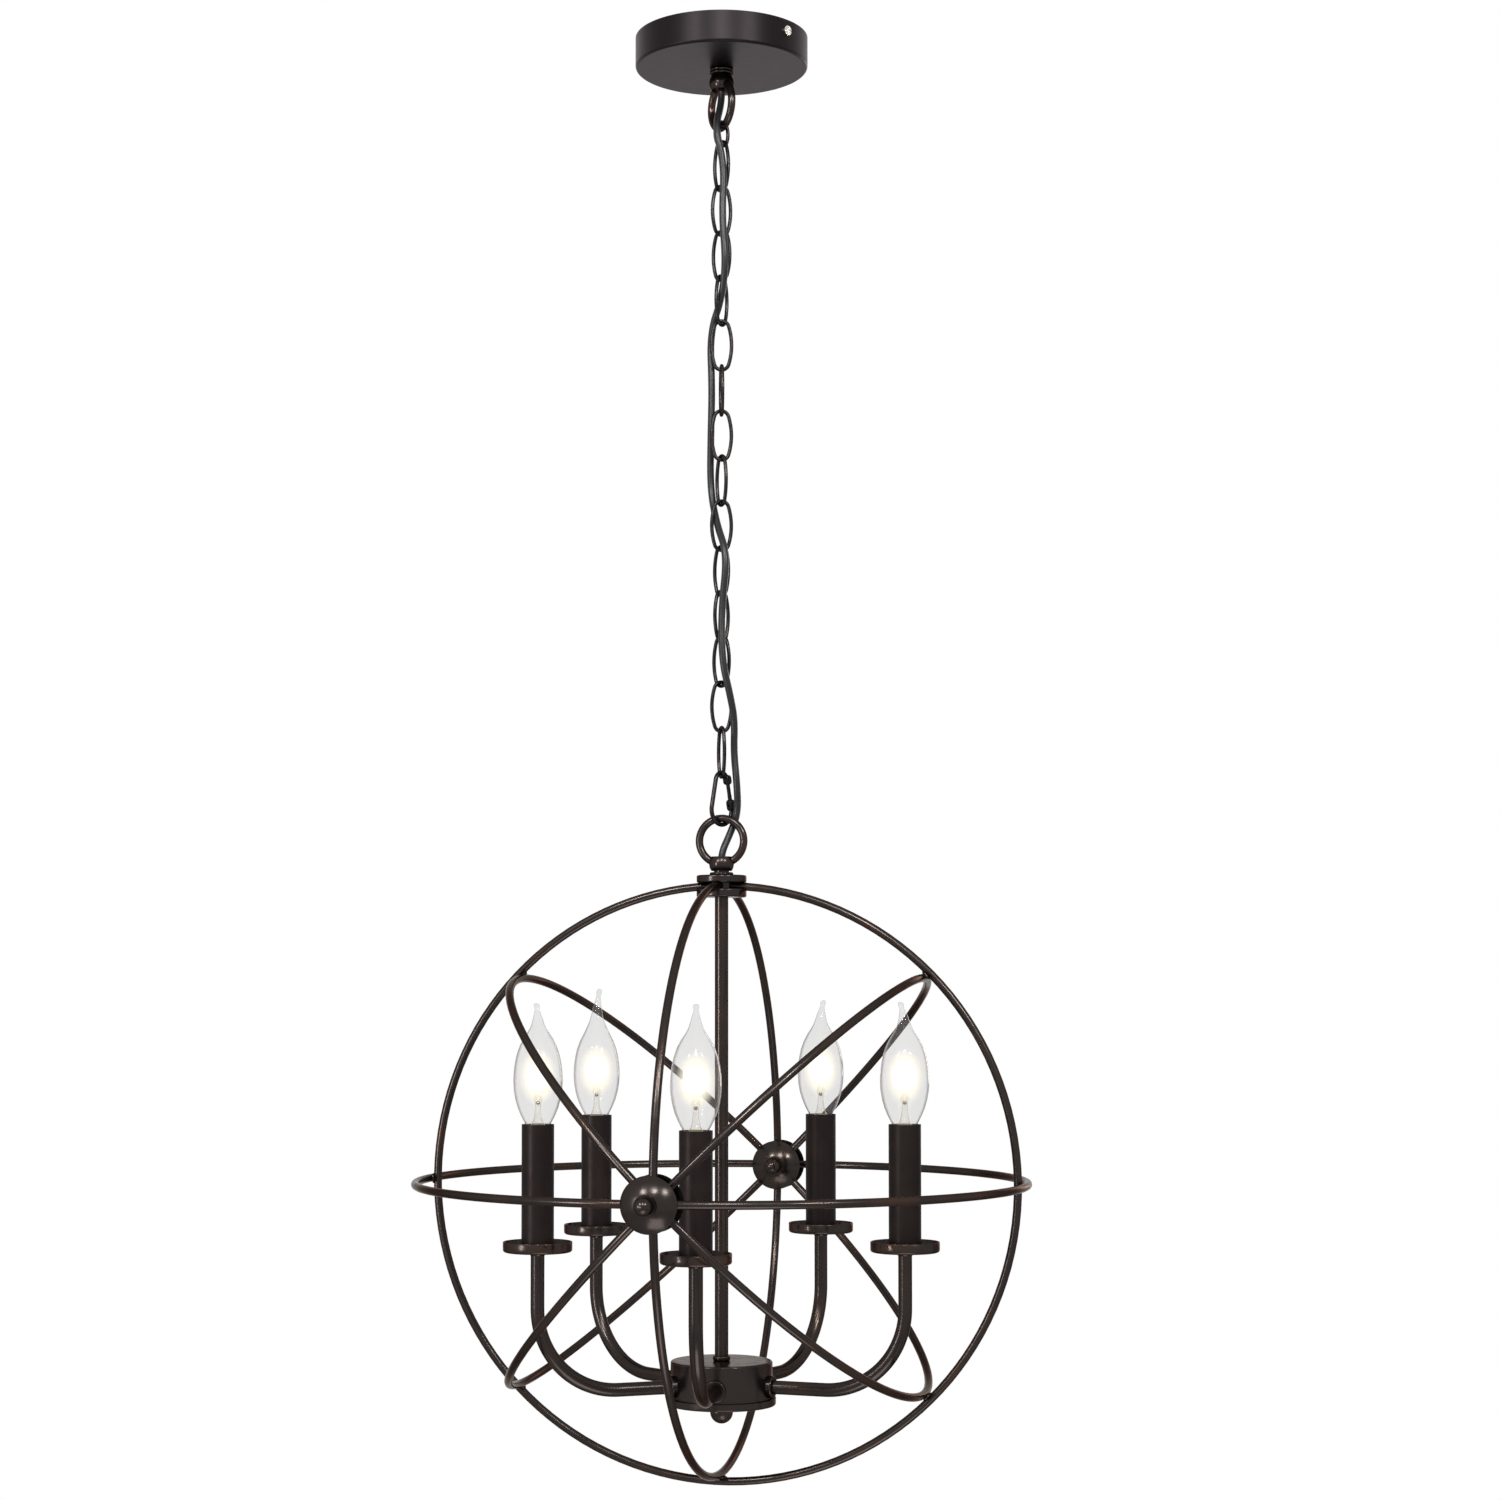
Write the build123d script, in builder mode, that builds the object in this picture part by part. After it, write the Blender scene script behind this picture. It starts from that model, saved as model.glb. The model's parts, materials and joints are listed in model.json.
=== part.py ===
"""Orb chandelier: five candle lights inside a sphere of round rods, on a link chain.

Millimetres. The origin is the middle of the mounting strap's top face, on the ceiling,
with +Z up. The two bosses of the orb lie on the Y axis, the front one at -Y.
"""

import os
from math import asin, atan2, cos, degrees, pi, radians, sin, sqrt, tan

from build123d import *

os.makedirs("parts", exist_ok=True)

# ---------------------------------------------------------------- clearances
RUN_GAP = 0.15  # between wires that roll on each other
SLIP_GAP = 0.1  # round a rod or thread in its hole
SEAT_GAP = 0.02  # between crossing rods that a weld bead joins
CORD_GAP = 0.35  # round the power cable in a bore

# ---------------------------------------------------------------- ceiling canopy
CANOPY_RADIUS = 64.4
CANOPY_HEIGHT = 23.0
CANOPY_WALL = 1.2
CANOPY_EDGE = 2.0
SCREW_DROP = 8.5  # side screws below the ceiling
SCREW_TURN = -30.0  # of the first side screw, from +X
SCREW_RADIUS = 2.0
SCREW_LENGTH = 9.0
SCREW_HEAD_RADIUS = 3.6
SCREW_HEAD = 2.2
SCREW_HEAD_EDGE = 0.8
SCREW_SLOT = 0.8
SLOT_DEPTH = 1.0

STRAP_WIDTH = 20.0
STRAP_THICKNESS = 2.0
STRAP_EAR = 14.0  # ear's length below the ceiling
STRAP_BEND = 1.5
STRAP_CORNER = 3.0
EAR_GAP = 0.6  # between an ear and the canopy's wall
BOX_SCREW_CIRCLE = 88.9  # of the two screws into the ceiling box
BOX_SCREW_HOLE_RADIUS = 2.4
GROUND_SCREW_AT = 22.0
GROUND_SCREW_RADIUS = 2.0
GROUND_HEAD_RADIUS = 4.0
GROUND_HEAD = 2.4

# ---------------------------------------------------------------- threads of the lamp
PIPE_RADIUS = 4.8  # threaded pipe at the ceiling
PIPE_BORE = 3.1
THREAD_TOP = 0.5  # ends of pipe and ground screw below the ceiling
LOCKNUT_RADIUS = 8.0  # over the corners
LOCKNUT_HEIGHT = 3.5

# ---------------------------------------------------------------- hanging loops
LOOP_WIRE = 5.7
LOOP_OUTER_RADIUS = 19.6
BALL_RADIUS = 9.2
BALL_HEIGHT = 10.6
COLLAR_BEAD_RADIUS = 8.8
COLLAR_BEAD_HEIGHT = 2.2
COLLAR_NECK = 1.0
COLLAR_NECK_RADIUS = 5.6
CANOPY_LOOP_TURN = -51.0  # of the loop's plane about the vertical, from +X
ORB_LOOP_TURN = 0.0
LOOP_SINK = 8.0  # the ring's outer edge goes this deep into its ball

# ---------------------------------------------------------------- chain
LINK_WIRE = 2.8
LINK_INNER_LENGTH = 33.95
LINK_INNER_WIDTH = 12.1
LINK_END_RADIUS = 5.5
CONNECTOR_INNER_LENGTH = 15.2
CONNECTOR_INNER_WIDTH = 7.8
CONNECTOR_END_RADIUS = 4.6
CONNECTOR_TURN = 39.0
LINK_TURNS = (-35, 38, -23, 70, 12, -72, 23, -51, 26, -35, 61, -29, 28, -61)

# ---------------------------------------------------------------- carabiner
CARABINER_TURN = 60.0
CARABINER_WIRE = 3.3
CARABINER_INNER_LENGTH = 35.3
CARABINER_TOP_RADIUS = 6.4  # centreline
CARABINER_BOTTOM_RADIUS = 10.9  # centreline
GATE_WIRE = 2.9
GATE_LENGTH = 16.0
GATE_FOOT = 3.4  # hinge pin along the leg, from where the bottom arc ends
GATE_SHOULDER = 3.0  # round rod begins beyond the pin
GATE_EYE_RADIUS = 2.3
GATE_PIN_RADIUS = 0.8
PIN_HEAD = 0.3
TONGUE_THICKNESS = 1.6
FORK_RADIUS = 2.6
FORK_THICKNESS = 5.0
FORK_EDGE = 0.7
NOSE_RADIUS = 2.5
NOSE_LENGTH = 3.6  # to each side of the top arc's end

# ---------------------------------------------------------------- orb
ROD = 6.0
DIAGONAL_TILT = 45.0
FRONT_RING_RADIUS = 218.5  # centreline of the ring that hangs in the clamp
CLAMP_RADIUS = 18.5
UPPER_DISC_HEIGHT = 5.5
LOWER_DISC_HEIGHT = 6.2
CLAMP_OPENING = 4.6  # between the discs, which are grooved for the rods
CLAMP_CORE_RADIUS = 8.0
CLAMP_EDGE = 1.2
BOSS_CAP_RADIUS = 19.5
BOSS_CAP_HEIGHT = 9.0
BOSS_CAP_WALL = 1.5
BOSS_CORE_RADIUS = 9.0
BOSS_KNOB_RADIUS = 6.2
BOSS_KNOB_BASE_RADIUS = 7.6
BOSS_KNOB_BASE = 2.0
BOSS_KNOB_RISE = 5.0  # ball's middle above the base
BOSS_STUD_RADIUS = 2.5
BOSS_STUD_DEPTH = 6.0  # into the core
CAP_CLEARANCE = 0.4  # between a cap's rim and the rods

# ---------------------------------------------------------------- stem and hub
STEM_RADIUS = 5.0
STEM_BORE = 4.1
STEM_COLLAR_RADIUS = 6.4
STEM_COLLAR_HEIGHT = 3.6
STEM_COLLAR_EDGE = 1.2
SPIGOT_RADIUS = 4.0  # threads that screw into the stem's ends
SPIGOT_LENGTH = 16.0
HUB_RADIUS = 37.5
HUB_HEIGHT = 31.0
HUB_WALL = 1.5
HUB_EDGE = 1.4
COVER_RADIUS = 40.0
COVER_HEIGHT = 5.3
COVER_WALL = 1.2
COVER_EDGE = 1.5
FINIAL_THREAD = 8.0  # of the pipe inside the finial
WINDOW_WIDTH = 4.0  # side opening of the pipe for the wires
WINDOW_HEIGHT = 14.0
FINIAL_RADIUS = 8.4
FINIAL_HEIGHT = 13.8
FINIAL_NECK_RADIUS = 5.6
FINIAL_NECK = 3.0
FINIAL_RISE = 33.0  # from the crossing of the rods below up to the finial

# ---------------------------------------------------------------- arms and candles
ARM_TURNS = (-85.0, -8.5, 69.0, 145.5, 212.5)  # from +X: front, right, back right, back left, left
ARM_RADIUS = 5.0
ARM_BORE = 3.4
ARM_DROP = 17.6  # arm's axis below the hub's top
ARM_INSIDE = 7.0  # arm's thread inside the hub
ARM_BEND = 61.0
CANDLE_CIRCLE = 141.0
PAN_ABOVE_ARM = 103.0  # drip pan's floor above the arm's axis
FLANGE_RADIUS = 8.0
FLANGE_DEPTH = 3.4
FLANGE_EDGE = 1.0
ARM_NUT_RADIUS = 7.4
ARM_NUT_HEIGHT = 3.0
ARM_TIP_RADIUS = 4.6
ARM_TIP_LENGTH = 10.0
PAN_RADIUS = 25.0
PAN_HEIGHT = 7.0
PAN_WALL = 1.0
PAN_FLOOR_RADIUS = 18.0
PAN_NECK_RADIUS = 7.0
PAN_NECK_HEIGHT = 3.2
SLEEVE_RADIUS = 11.7
SLEEVE_WALL = 1.2
SLEEVE_HEIGHT = 90.0
SOCKET_RADIUS = 9.9
SOCKET_HEIGHT = 34.0
SOCKET_BELOW_SLEEVE = 3.0
SOCKET_DEPTH = 26.0
SOCKET_FOOT = 2.0
SOCKET_LEG_WIDTH = 9.0
SOCKET_LEG_THICKNESS = 1.6
SOCKET_LEG_AT = 7.6  # leg's middle from the candle's axis
CANDLE_NUT_RADIUS = 6.4

# ---------------------------------------------------------------- bulbs
BULB_HEIGHT = 88.0  # above the sleeve
BULB_RADIUS = 18.0
BULB_WIDEST = 29.0  # above the sleeve
BULB_NECK_RADIUS = 9.4
BULB_SHOULDER_RADIUS = 8.6
BULB_SHOULDER = 62.3  # above the sleeve
BULB_TIP_RADIUS = 1.9
BULB_WALL = 0.8
BASE_RADIUS = 5.95
BASE_GAP = 0.35  # round the base in its socket
BASE_LENGTH = 21.0
BASE_BUTTON_RADIUS = 2.2
BASE_BUTTON = 1.6
BASE_SKIRT_RADIUS = 7.4
BASE_SKIRT = 3.0

# ---------------------------------------------------------------- power cable
CABLE_RADIUS = 2.65
WIRE_BORE = CABLE_RADIUS + CORD_GAP
CABLE_BEND = 0.45  # share of the shorter run that a bend takes up
CABLE_POINTS = (
    (0.0, 0.0, -0.5),
    (0.0, 0.0, -46.6),
    (-2.4, -10.0, -70.6),
    (2.0, -6.9, -98.0),
    (1.0, -7.0, -135.0),
    (5.3, -9.7, -169.5),
    (0.9, -1.8, -195.5),
    (-9.9, 4.5, -220.7),
    (-7.9, 3.1, -262.0),
    (-8.7, 2.4, -300.0),
    (-10.4, 8.1, -337.1),
    (-3.8, 0.3, -365.5),
    (6.5, -10.0, -389.7),
    (1.4, -6.9, -430.0),
    (2.4, -9.8, -468.6),
    (7.3, -5.4, -492.1),
    (9.9, 0.7, -512.0),
    (8.4, 3.9, -535.0),
    (11.4, 1.5, -559.9),
    (11.0, 7.0, -580.7),
    (5.2, 4.8, -596.7),
    (0.0, 0.0, -610.2),
)

HANGING = (Align.CENTER, Align.CENTER, Align.MAX)
STANDING = (Align.CENTER, Align.CENTER, Align.MIN)
SIDEWAYS = (Align.MIN, Align.CENTER, Align.CENTER)


def place(part, name):
    """Label a finished piece and write it under its node's name."""
    part.label = name
    export_step(part, f"parts/{name}.step")


def place_round(part, turns, name):
    """Write copies of a part, turned about the Z axis, as the solids of one node."""
    place(Compound(children=[part.rotate(Axis.Z, turn) for turn in turns]), name)


def over_arm(part):
    """A part modelled on the Z axis, moved over the end of an arm along +X."""
    return part.moved(Location((CANDLE_CIRCLE, 0, 0)))


def tube(low, high, outer, inner):
    """A round tube on the Z axis between two heights."""
    with BuildPart() as wall:
        with BuildSketch(Plane.XY.offset(low)):
            Circle(outer)
            Circle(inner, mode=Mode.SUBTRACT)
        extrude(amount=high - low)
    return wall.part


def hex_nut(seat, corner_radius, bore, height):
    """A nut that stands on a plane, along the plane's normal."""
    with BuildPart() as nut:
        with BuildSketch(seat):
            RegularPolygon(corner_radius, 6)
            Circle(bore, mode=Mode.SUBTRACT)
        extrude(amount=height)
    return nut.part


def upright(turn, height=0.0):
    """An upright plane through the Z axis: local x along the turn, local y up."""
    along = (cos(radians(turn)), sin(radians(turn)), 0)
    out = (sin(radians(turn)), -cos(radians(turn)), 0)
    return Plane(origin=(0, 0, height), x_dir=along, z_dir=out)


# ---------------------------------------------------------------- heights, top down
canopy_floor = -CANOPY_HEIGHT
canopy_ball_top = canopy_floor - 2 * COLLAR_BEAD_HEIGHT - COLLAR_NECK
canopy_ball_bottom = canopy_ball_top - BALL_HEIGHT
loop_radius = LOOP_OUTER_RADIUS - LOOP_WIRE / 2
canopy_ring_centre = canopy_ball_bottom + LOOP_SINK - LOOP_OUTER_RADIUS
canopy_ring_low = canopy_ring_centre - loop_radius
connector_top = canopy_ring_low + LOOP_WIRE / 2 + RUN_GAP
chain_top = connector_top - CONNECTOR_INNER_LENGTH + RUN_GAP
link_pitch = LINK_INNER_LENGTH - RUN_GAP
link_count = len(LINK_TURNS)
carabiner_top = chain_top - link_count * link_pitch
carabiner_bottom = carabiner_top - CARABINER_INNER_LENGTH
orb_ring_centre = carabiner_bottom + RUN_GAP + LOOP_WIRE / 2 - loop_radius
orb_ball_top = orb_ring_centre - LOOP_OUTER_RADIUS + LOOP_SINK
orb_ball_bottom = orb_ball_top - BALL_HEIGHT
clamp_top = orb_ball_bottom - COLLAR_NECK - COLLAR_BEAD_HEIGHT
clamp_gap_top = clamp_top - UPPER_DISC_HEIGHT
clamp_gap_bottom = clamp_gap_top - CLAMP_OPENING
clamp_middle = (clamp_gap_top + clamp_gap_bottom) / 2
clamp_bottom = clamp_gap_bottom - LOWER_DISC_HEIGHT
orb_centre = clamp_middle - FRONT_RING_RADIUS
crossing_top = orb_centre - FRONT_RING_RADIUS + 1.5 * ROD + SEAT_GAP
cover_bottom = crossing_top + FINIAL_RISE + FINIAL_HEIGHT
hub_floor = cover_bottom + COVER_WALL
hub_top = hub_floor + HUB_HEIGHT
arm_height = hub_top - ARM_DROP
pan_floor = arm_height + PAN_ABOVE_ARM
sleeve_top = pan_floor + SLEEVE_HEIGHT

# ---------------------------------------------------------------- ceiling pieces
strap_reach = sqrt((CANOPY_RADIUS - CANOPY_WALL - EAR_GAP) ** 2 - STRAP_WIDTH**2 / 4)

with BuildPart() as mounting_strap:
    with BuildSketch(Plane.XZ):
        with Locations((0, -STRAP_EAR / 2)):
            Rectangle(2 * strap_reach, STRAP_EAR)
        with Locations((0, -STRAP_THICKNESS - STRAP_EAR / 2)):
            Rectangle(2 * (strap_reach - STRAP_THICKNESS), STRAP_EAR, mode=Mode.SUBTRACT)
    extrude(amount=STRAP_WIDTH / 2, both=True)
    fillet(mounting_strap.edges().filter_by(Axis.Y).group_by(Axis.Z)[-1], STRAP_BEND)
    fillet(mounting_strap.edges().filter_by(Axis.X).group_by(Axis.Z)[0], STRAP_CORNER)
    with BuildSketch():
        Circle(PIPE_RADIUS + SLIP_GAP)
        with PolarLocations(BOX_SCREW_CIRCLE / 2, 2):
            Circle(BOX_SCREW_HOLE_RADIUS)
        with Locations((GROUND_SCREW_AT, 0)):
            Circle(GROUND_SCREW_RADIUS + SLIP_GAP)
    extrude(amount=-STRAP_THICKNESS, mode=Mode.SUBTRACT)
    with BuildSketch(Plane.YZ):
        with Locations((0, -SCREW_DROP)):
            Circle(SCREW_RADIUS + SLIP_GAP)
    extrude(amount=CANOPY_RADIUS, both=True, mode=Mode.SUBTRACT)
place_round(mounting_strap.part, [SCREW_TURN], "mounting_strap")

with BuildPart() as ground_screw:
    with Locations((GROUND_SCREW_AT, 0, -STRAP_THICKNESS)):
        Cylinder(GROUND_HEAD_RADIUS, GROUND_HEAD, align=HANGING)
        fillet(ground_screw.edges().group_by(Axis.Z)[0], SCREW_HEAD_EDGE)
        Cylinder(GROUND_SCREW_RADIUS, STRAP_THICKNESS - THREAD_TOP, align=STANDING)
    with Locations((GROUND_SCREW_AT, 0, -STRAP_THICKNESS - GROUND_HEAD)):
        Box(2 * GROUND_HEAD_RADIUS, SCREW_SLOT, SLOT_DEPTH, align=STANDING, mode=Mode.SUBTRACT)
place_round(ground_screw.part, [SCREW_TURN], "ground_screw")

with BuildPart() as canopy:
    Cylinder(CANOPY_RADIUS, CANOPY_HEIGHT, align=HANGING)
    fillet(canopy.edges().group_by(Axis.Z)[0], CANOPY_EDGE)
    offset(amount=-CANOPY_WALL, openings=canopy.faces().sort_by(Axis.Z)[-1])
    with BuildSketch():
        Circle(PIPE_RADIUS + SLIP_GAP)
    extrude(amount=-CANOPY_HEIGHT, mode=Mode.SUBTRACT)
    with BuildSketch(Plane.YZ):
        with Locations((0, -SCREW_DROP)):
            Circle(SCREW_RADIUS + SLIP_GAP)
    extrude(amount=CANOPY_RADIUS, both=True, mode=Mode.SUBTRACT)
place_round(canopy.part, [SCREW_TURN], "canopy")

with BuildPart() as canopy_screw:
    with BuildSketch(Plane.YZ.offset(CANOPY_RADIUS)):
        with Locations((0, -SCREW_DROP)):
            Circle(SCREW_HEAD_RADIUS)
    extrude(amount=SCREW_HEAD)
    fillet(canopy_screw.edges().group_by(Axis.X)[-1], SCREW_HEAD_EDGE)
    with BuildSketch(Plane.YZ.offset(CANOPY_RADIUS)):
        with Locations((0, -SCREW_DROP)):
            Circle(SCREW_RADIUS)
    extrude(amount=-SCREW_LENGTH)
    with BuildSketch(Plane.YZ.offset(CANOPY_RADIUS + SCREW_HEAD)):
        with Locations((0, -SCREW_DROP)):
            Rectangle(SCREW_SLOT, 2 * SCREW_HEAD_RADIUS)
            Rectangle(2 * SCREW_HEAD_RADIUS, SCREW_SLOT)
    extrude(amount=-SLOT_DEPTH, mode=Mode.SUBTRACT)
place_round(canopy_screw.part, [SCREW_TURN, SCREW_TURN + 180], "canopy_screws")

pipe_bottom = canopy_floor - 2 * COLLAR_BEAD_HEIGHT
place(tube(pipe_bottom, -THREAD_TOP, PIPE_RADIUS, PIPE_BORE), "canopy_pipe")

canopy_locknuts = [
    hex_nut(Plane.XY.offset(height), LOCKNUT_RADIUS, PIPE_RADIUS + SLIP_GAP, LOCKNUT_HEIGHT)
    for height in (-STRAP_THICKNESS - LOCKNUT_HEIGHT, canopy_floor + CANOPY_WALL)
]
place(Compound(children=canopy_locknuts), "canopy_locknuts")


# ---------------------------------------------------------------- hanging loops
def hanging_loop(turn, beads, neck, ball_middle, ring_middle):
    """A turned body on the Z axis, beads, neck and flattened ball, with an upright ring."""
    with BuildPart() as loop:
        with BuildSketch(Plane.XZ):
            with Locations((0, ball_middle)):
                Circle(BALL_RADIUS)
                Rectangle(2 * BALL_RADIUS, BALL_HEIGHT, mode=Mode.INTERSECT)
            for bead in beads:
                with Locations((0, bead)):
                    SlotOverall(2 * COLLAR_BEAD_RADIUS, COLLAR_BEAD_HEIGHT)
            with Locations((0, (neck + ball_middle) / 2)):
                Rectangle(2 * COLLAR_NECK_RADIUS, abs(neck - ball_middle))
            split(bisect_by=Plane.YZ)
        revolve(axis=Axis.Z)
        with Locations(upright(turn, ring_middle)):
            Torus(loop_radius, LOOP_WIRE / 2)
    return loop.part


with BuildPart() as canopy_loop:
    add(
        hanging_loop(
            CANOPY_LOOP_TURN,
            [canopy_floor - COLLAR_BEAD_HEIGHT / 2, canopy_floor - 3 * COLLAR_BEAD_HEIGHT / 2],
            canopy_floor,
            (canopy_ball_top + canopy_ball_bottom) / 2,
            canopy_ring_centre,
        )
    )
    with BuildSketch(Plane.XY.offset(canopy_floor)):
        Circle(WIRE_BORE)
    extrude(amount=canopy_ball_bottom - canopy_floor, mode=Mode.SUBTRACT)
    with BuildSketch(Plane.XY.offset(canopy_floor)):
        Circle(PIPE_RADIUS + SLIP_GAP)
    extrude(amount=pipe_bottom - canopy_floor, mode=Mode.SUBTRACT)
place(canopy_loop.part, "canopy_loop")

with BuildPart() as orb_loop:
    add(
        hanging_loop(
            ORB_LOOP_TURN,
            [clamp_top + COLLAR_BEAD_HEIGHT / 2],
            clamp_top,
            (orb_ball_top + orb_ball_bottom) / 2,
            orb_ring_centre,
        )
    )
    with BuildSketch(Plane.XY.offset(clamp_top)):
        Circle(SPIGOT_RADIUS)
    extrude(amount=clamp_bottom - SPIGOT_LENGTH - clamp_top)
    with BuildSketch(Plane.XY.offset(orb_ball_top)):
        Circle(WIRE_BORE)
    extrude(amount=clamp_bottom - SPIGOT_LENGTH - orb_ball_top, mode=Mode.SUBTRACT)
place(orb_loop.part, "orb_loop")


# ---------------------------------------------------------------- chain
def chain_link(top, turn, inner_length, inner_width, end_radius):
    """An oval link of round wire: two end arcs and two long side arcs, all tangent."""
    half_long = (inner_length + LINK_WIRE) / 2
    half_wide = (inner_width + LINK_WIRE) / 2
    squares = half_long**2 + half_wide**2 - 2 * half_long * end_radius
    side_radius = squares / (2 * (half_wide - end_radius))
    meet = degrees(atan2(half_long - end_radius, side_radius - half_wide))
    with BuildPart() as link:
        with BuildLine(upright(turn, top - inner_length / 2)) as middle:
            CenterArc((half_wide - side_radius, 0), side_radius, -meet, 2 * meet)
            CenterArc((0, half_long - end_radius), end_radius, meet, 180 - 2 * meet)
            CenterArc((side_radius - half_wide, 0), side_radius, 180 - meet, 2 * meet)
            CenterArc((0, end_radius - half_long), end_radius, 180 + meet, 180 - 2 * meet)
        start = middle.edges()[0]
        with BuildSketch(Plane(origin=start @ 0, z_dir=start % 0)):
            Circle(LINK_WIRE / 2)
        sweep(path=middle.wires()[0])
    return link.part


chain_connector = chain_link(
    connector_top, CONNECTOR_TURN, CONNECTOR_INNER_LENGTH, CONNECTOR_INNER_WIDTH, CONNECTOR_END_RADIUS
)
place(chain_connector, "chain_connector")
for number, turn in enumerate(LINK_TURNS):
    top = chain_top - number * link_pitch
    link = chain_link(top, turn, LINK_INNER_LENGTH, LINK_INNER_WIDTH, LINK_END_RADIUS)
    place(link, f"link_{number + 1:02d}")

# ---------------------------------------------------------------- carabiner
# Local x runs along the hook's plane, local y up, from the middle of its bottom arc.
hook_plane = upright(
    CARABINER_TURN, carabiner_bottom + CARABINER_BOTTOM_RADIUS - CARABINER_WIRE / 2
)
arcs_apart = (
    CARABINER_INNER_LENGTH + CARABINER_WIRE - CARABINER_TOP_RADIUS - CARABINER_BOTTOM_RADIUS
)
lean = asin((CARABINER_BOTTOM_RADIUS - CARABINER_TOP_RADIUS) / arcs_apart)
leg_length = arcs_apart * cos(lean)
leg_turn = 90 + degrees(lean)


def on_leg(along, side=1):
    """The point at a distance up a straight leg, the gate's one or, at -1, the other."""
    x = CARABINER_BOTTOM_RADIUS * cos(lean) - along * sin(lean)
    y = CARABINER_BOTTOM_RADIUS * sin(lean) + along * cos(lean)
    return (side * x, y)


gate_pivot = on_leg(GATE_FOOT)
gate_tip = on_leg(GATE_FOOT + GATE_LENGTH)

with BuildPart() as carabiner_body:
    with BuildSketch(hook_plane):
        with Locations(Location((*on_leg(GATE_FOOT / 2), 0), (0, 0, leg_turn))):
            SlotCenterToCenter(GATE_FOOT, 2 * FORK_RADIUS)
        with Locations(Location((*on_leg(leg_length), 0), (0, 0, leg_turn))):
            SlotOverall(2 * NOSE_LENGTH, 2 * NOSE_RADIUS)
    extrude(amount=FORK_THICKNESS / 2, both=True)
    fillet(
        carabiner_body.faces().filter_by(Axis(hook_plane.origin, hook_plane.z_dir)).edges(),
        FORK_EDGE,
    )
    with BuildLine(hook_plane) as hook:
        Line(gate_pivot, on_leg(0))
        CenterArc((0, 0), CARABINER_BOTTOM_RADIUS, degrees(lean), -180 - 2 * degrees(lean))
        Line(on_leg(0, -1), on_leg(leg_length, -1))
        CenterArc(
            (0, arcs_apart), CARABINER_TOP_RADIUS, 180 - degrees(lean), 2 * degrees(lean) - 180
        )
    start = hook.edges()[0]
    with BuildSketch(Plane(origin=start @ 0, z_dir=start % 0)):
        Circle(CARABINER_WIRE / 2)
    sweep(path=hook.wires()[0])
    with BuildSketch(hook_plane):
        with Locations(Location((*gate_pivot, 0), (0, 0, leg_turn))):
            Rectangle(2 * (FORK_RADIUS + SLIP_GAP), 4 * FORK_RADIUS)
    extrude(amount=TONGUE_THICKNESS / 2 + SLIP_GAP, both=True, mode=Mode.SUBTRACT)
    with BuildSketch(hook_plane):
        with Locations(gate_pivot):
            Circle(GATE_PIN_RADIUS + SEAT_GAP)
    extrude(amount=FORK_THICKNESS, both=True, mode=Mode.SUBTRACT)
    with BuildSketch(hook_plane):
        notch_middle = on_leg(GATE_FOOT + GATE_LENGTH + RUN_GAP - NOSE_LENGTH)
        with Locations(Location((*notch_middle, 0), (0, 0, leg_turn))):
            with Locations((0, NOSE_LENGTH - GATE_WIRE / 2 - SLIP_GAP)):
                Rectangle(2 * NOSE_LENGTH, 2 * NOSE_LENGTH)
    extrude(amount=GATE_WIRE / 2 + SLIP_GAP, both=True, mode=Mode.SUBTRACT)
place(carabiner_body.part, "carabiner_body")

with BuildPart() as carabiner_pin:
    with BuildSketch(hook_plane):
        with Locations(gate_pivot):
            Circle(GATE_PIN_RADIUS)
    extrude(amount=FORK_THICKNESS / 2 + PIN_HEAD, both=True)
place(carabiner_pin.part, "carabiner_pin")

with BuildPart() as carabiner_gate:
    with BuildLine(hook_plane) as gate_line:
        Line(on_leg(GATE_FOOT + GATE_SHOULDER), gate_tip)
    start = gate_line.edges()[0]
    with BuildSketch(Plane(origin=start @ 0, z_dir=start % 0)):
        Circle(GATE_WIRE / 2)
    extrude(amount=GATE_LENGTH - GATE_SHOULDER)
    with BuildSketch(hook_plane):
        with Locations(gate_pivot):
            Circle(GATE_EYE_RADIUS)
        with Locations(Location((*on_leg(GATE_FOOT + GATE_SHOULDER), 0), (0, 0, leg_turn))):
            Rectangle(2 * GATE_SHOULDER, GATE_WIRE)
    extrude(amount=TONGUE_THICKNESS / 2, both=True)
    with BuildSketch(hook_plane):
        with Locations(gate_pivot):
            Circle(GATE_PIN_RADIUS + SLIP_GAP)
    extrude(amount=GATE_WIRE, both=True, mode=Mode.SUBTRACT)
place(carabiner_gate.part, "carabiner_gate")

# ---------------------------------------------------------------- orb
upright_ring_radius = FRONT_RING_RADIUS - (ROD + SEAT_GAP) / 2
upright_ring_centre = orb_centre + (ROD + SEAT_GAP) / 2
equator_radius = FRONT_RING_RADIUS + ROD + SEAT_GAP
diagonal_radius = FRONT_RING_RADIUS - ROD - SEAT_GAP
orb_middle = Vector(0, 0, orb_centre)
front_plane = Plane(origin=orb_middle, z_dir=(0, 1, 0))
side_plane = Plane(origin=(0, 0, upright_ring_centre), z_dir=(1, 0, 0))

with BuildPart() as ring_front:
    with Locations(front_plane):
        Torus(FRONT_RING_RADIUS, ROD / 2)
    with Locations((0, 0, clamp_middle)):
        Cylinder(CLAMP_CORE_RADIUS + SEAT_GAP, 2 * ROD, mode=Mode.SUBTRACT)
place(ring_front.part, "ring_front")

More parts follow.
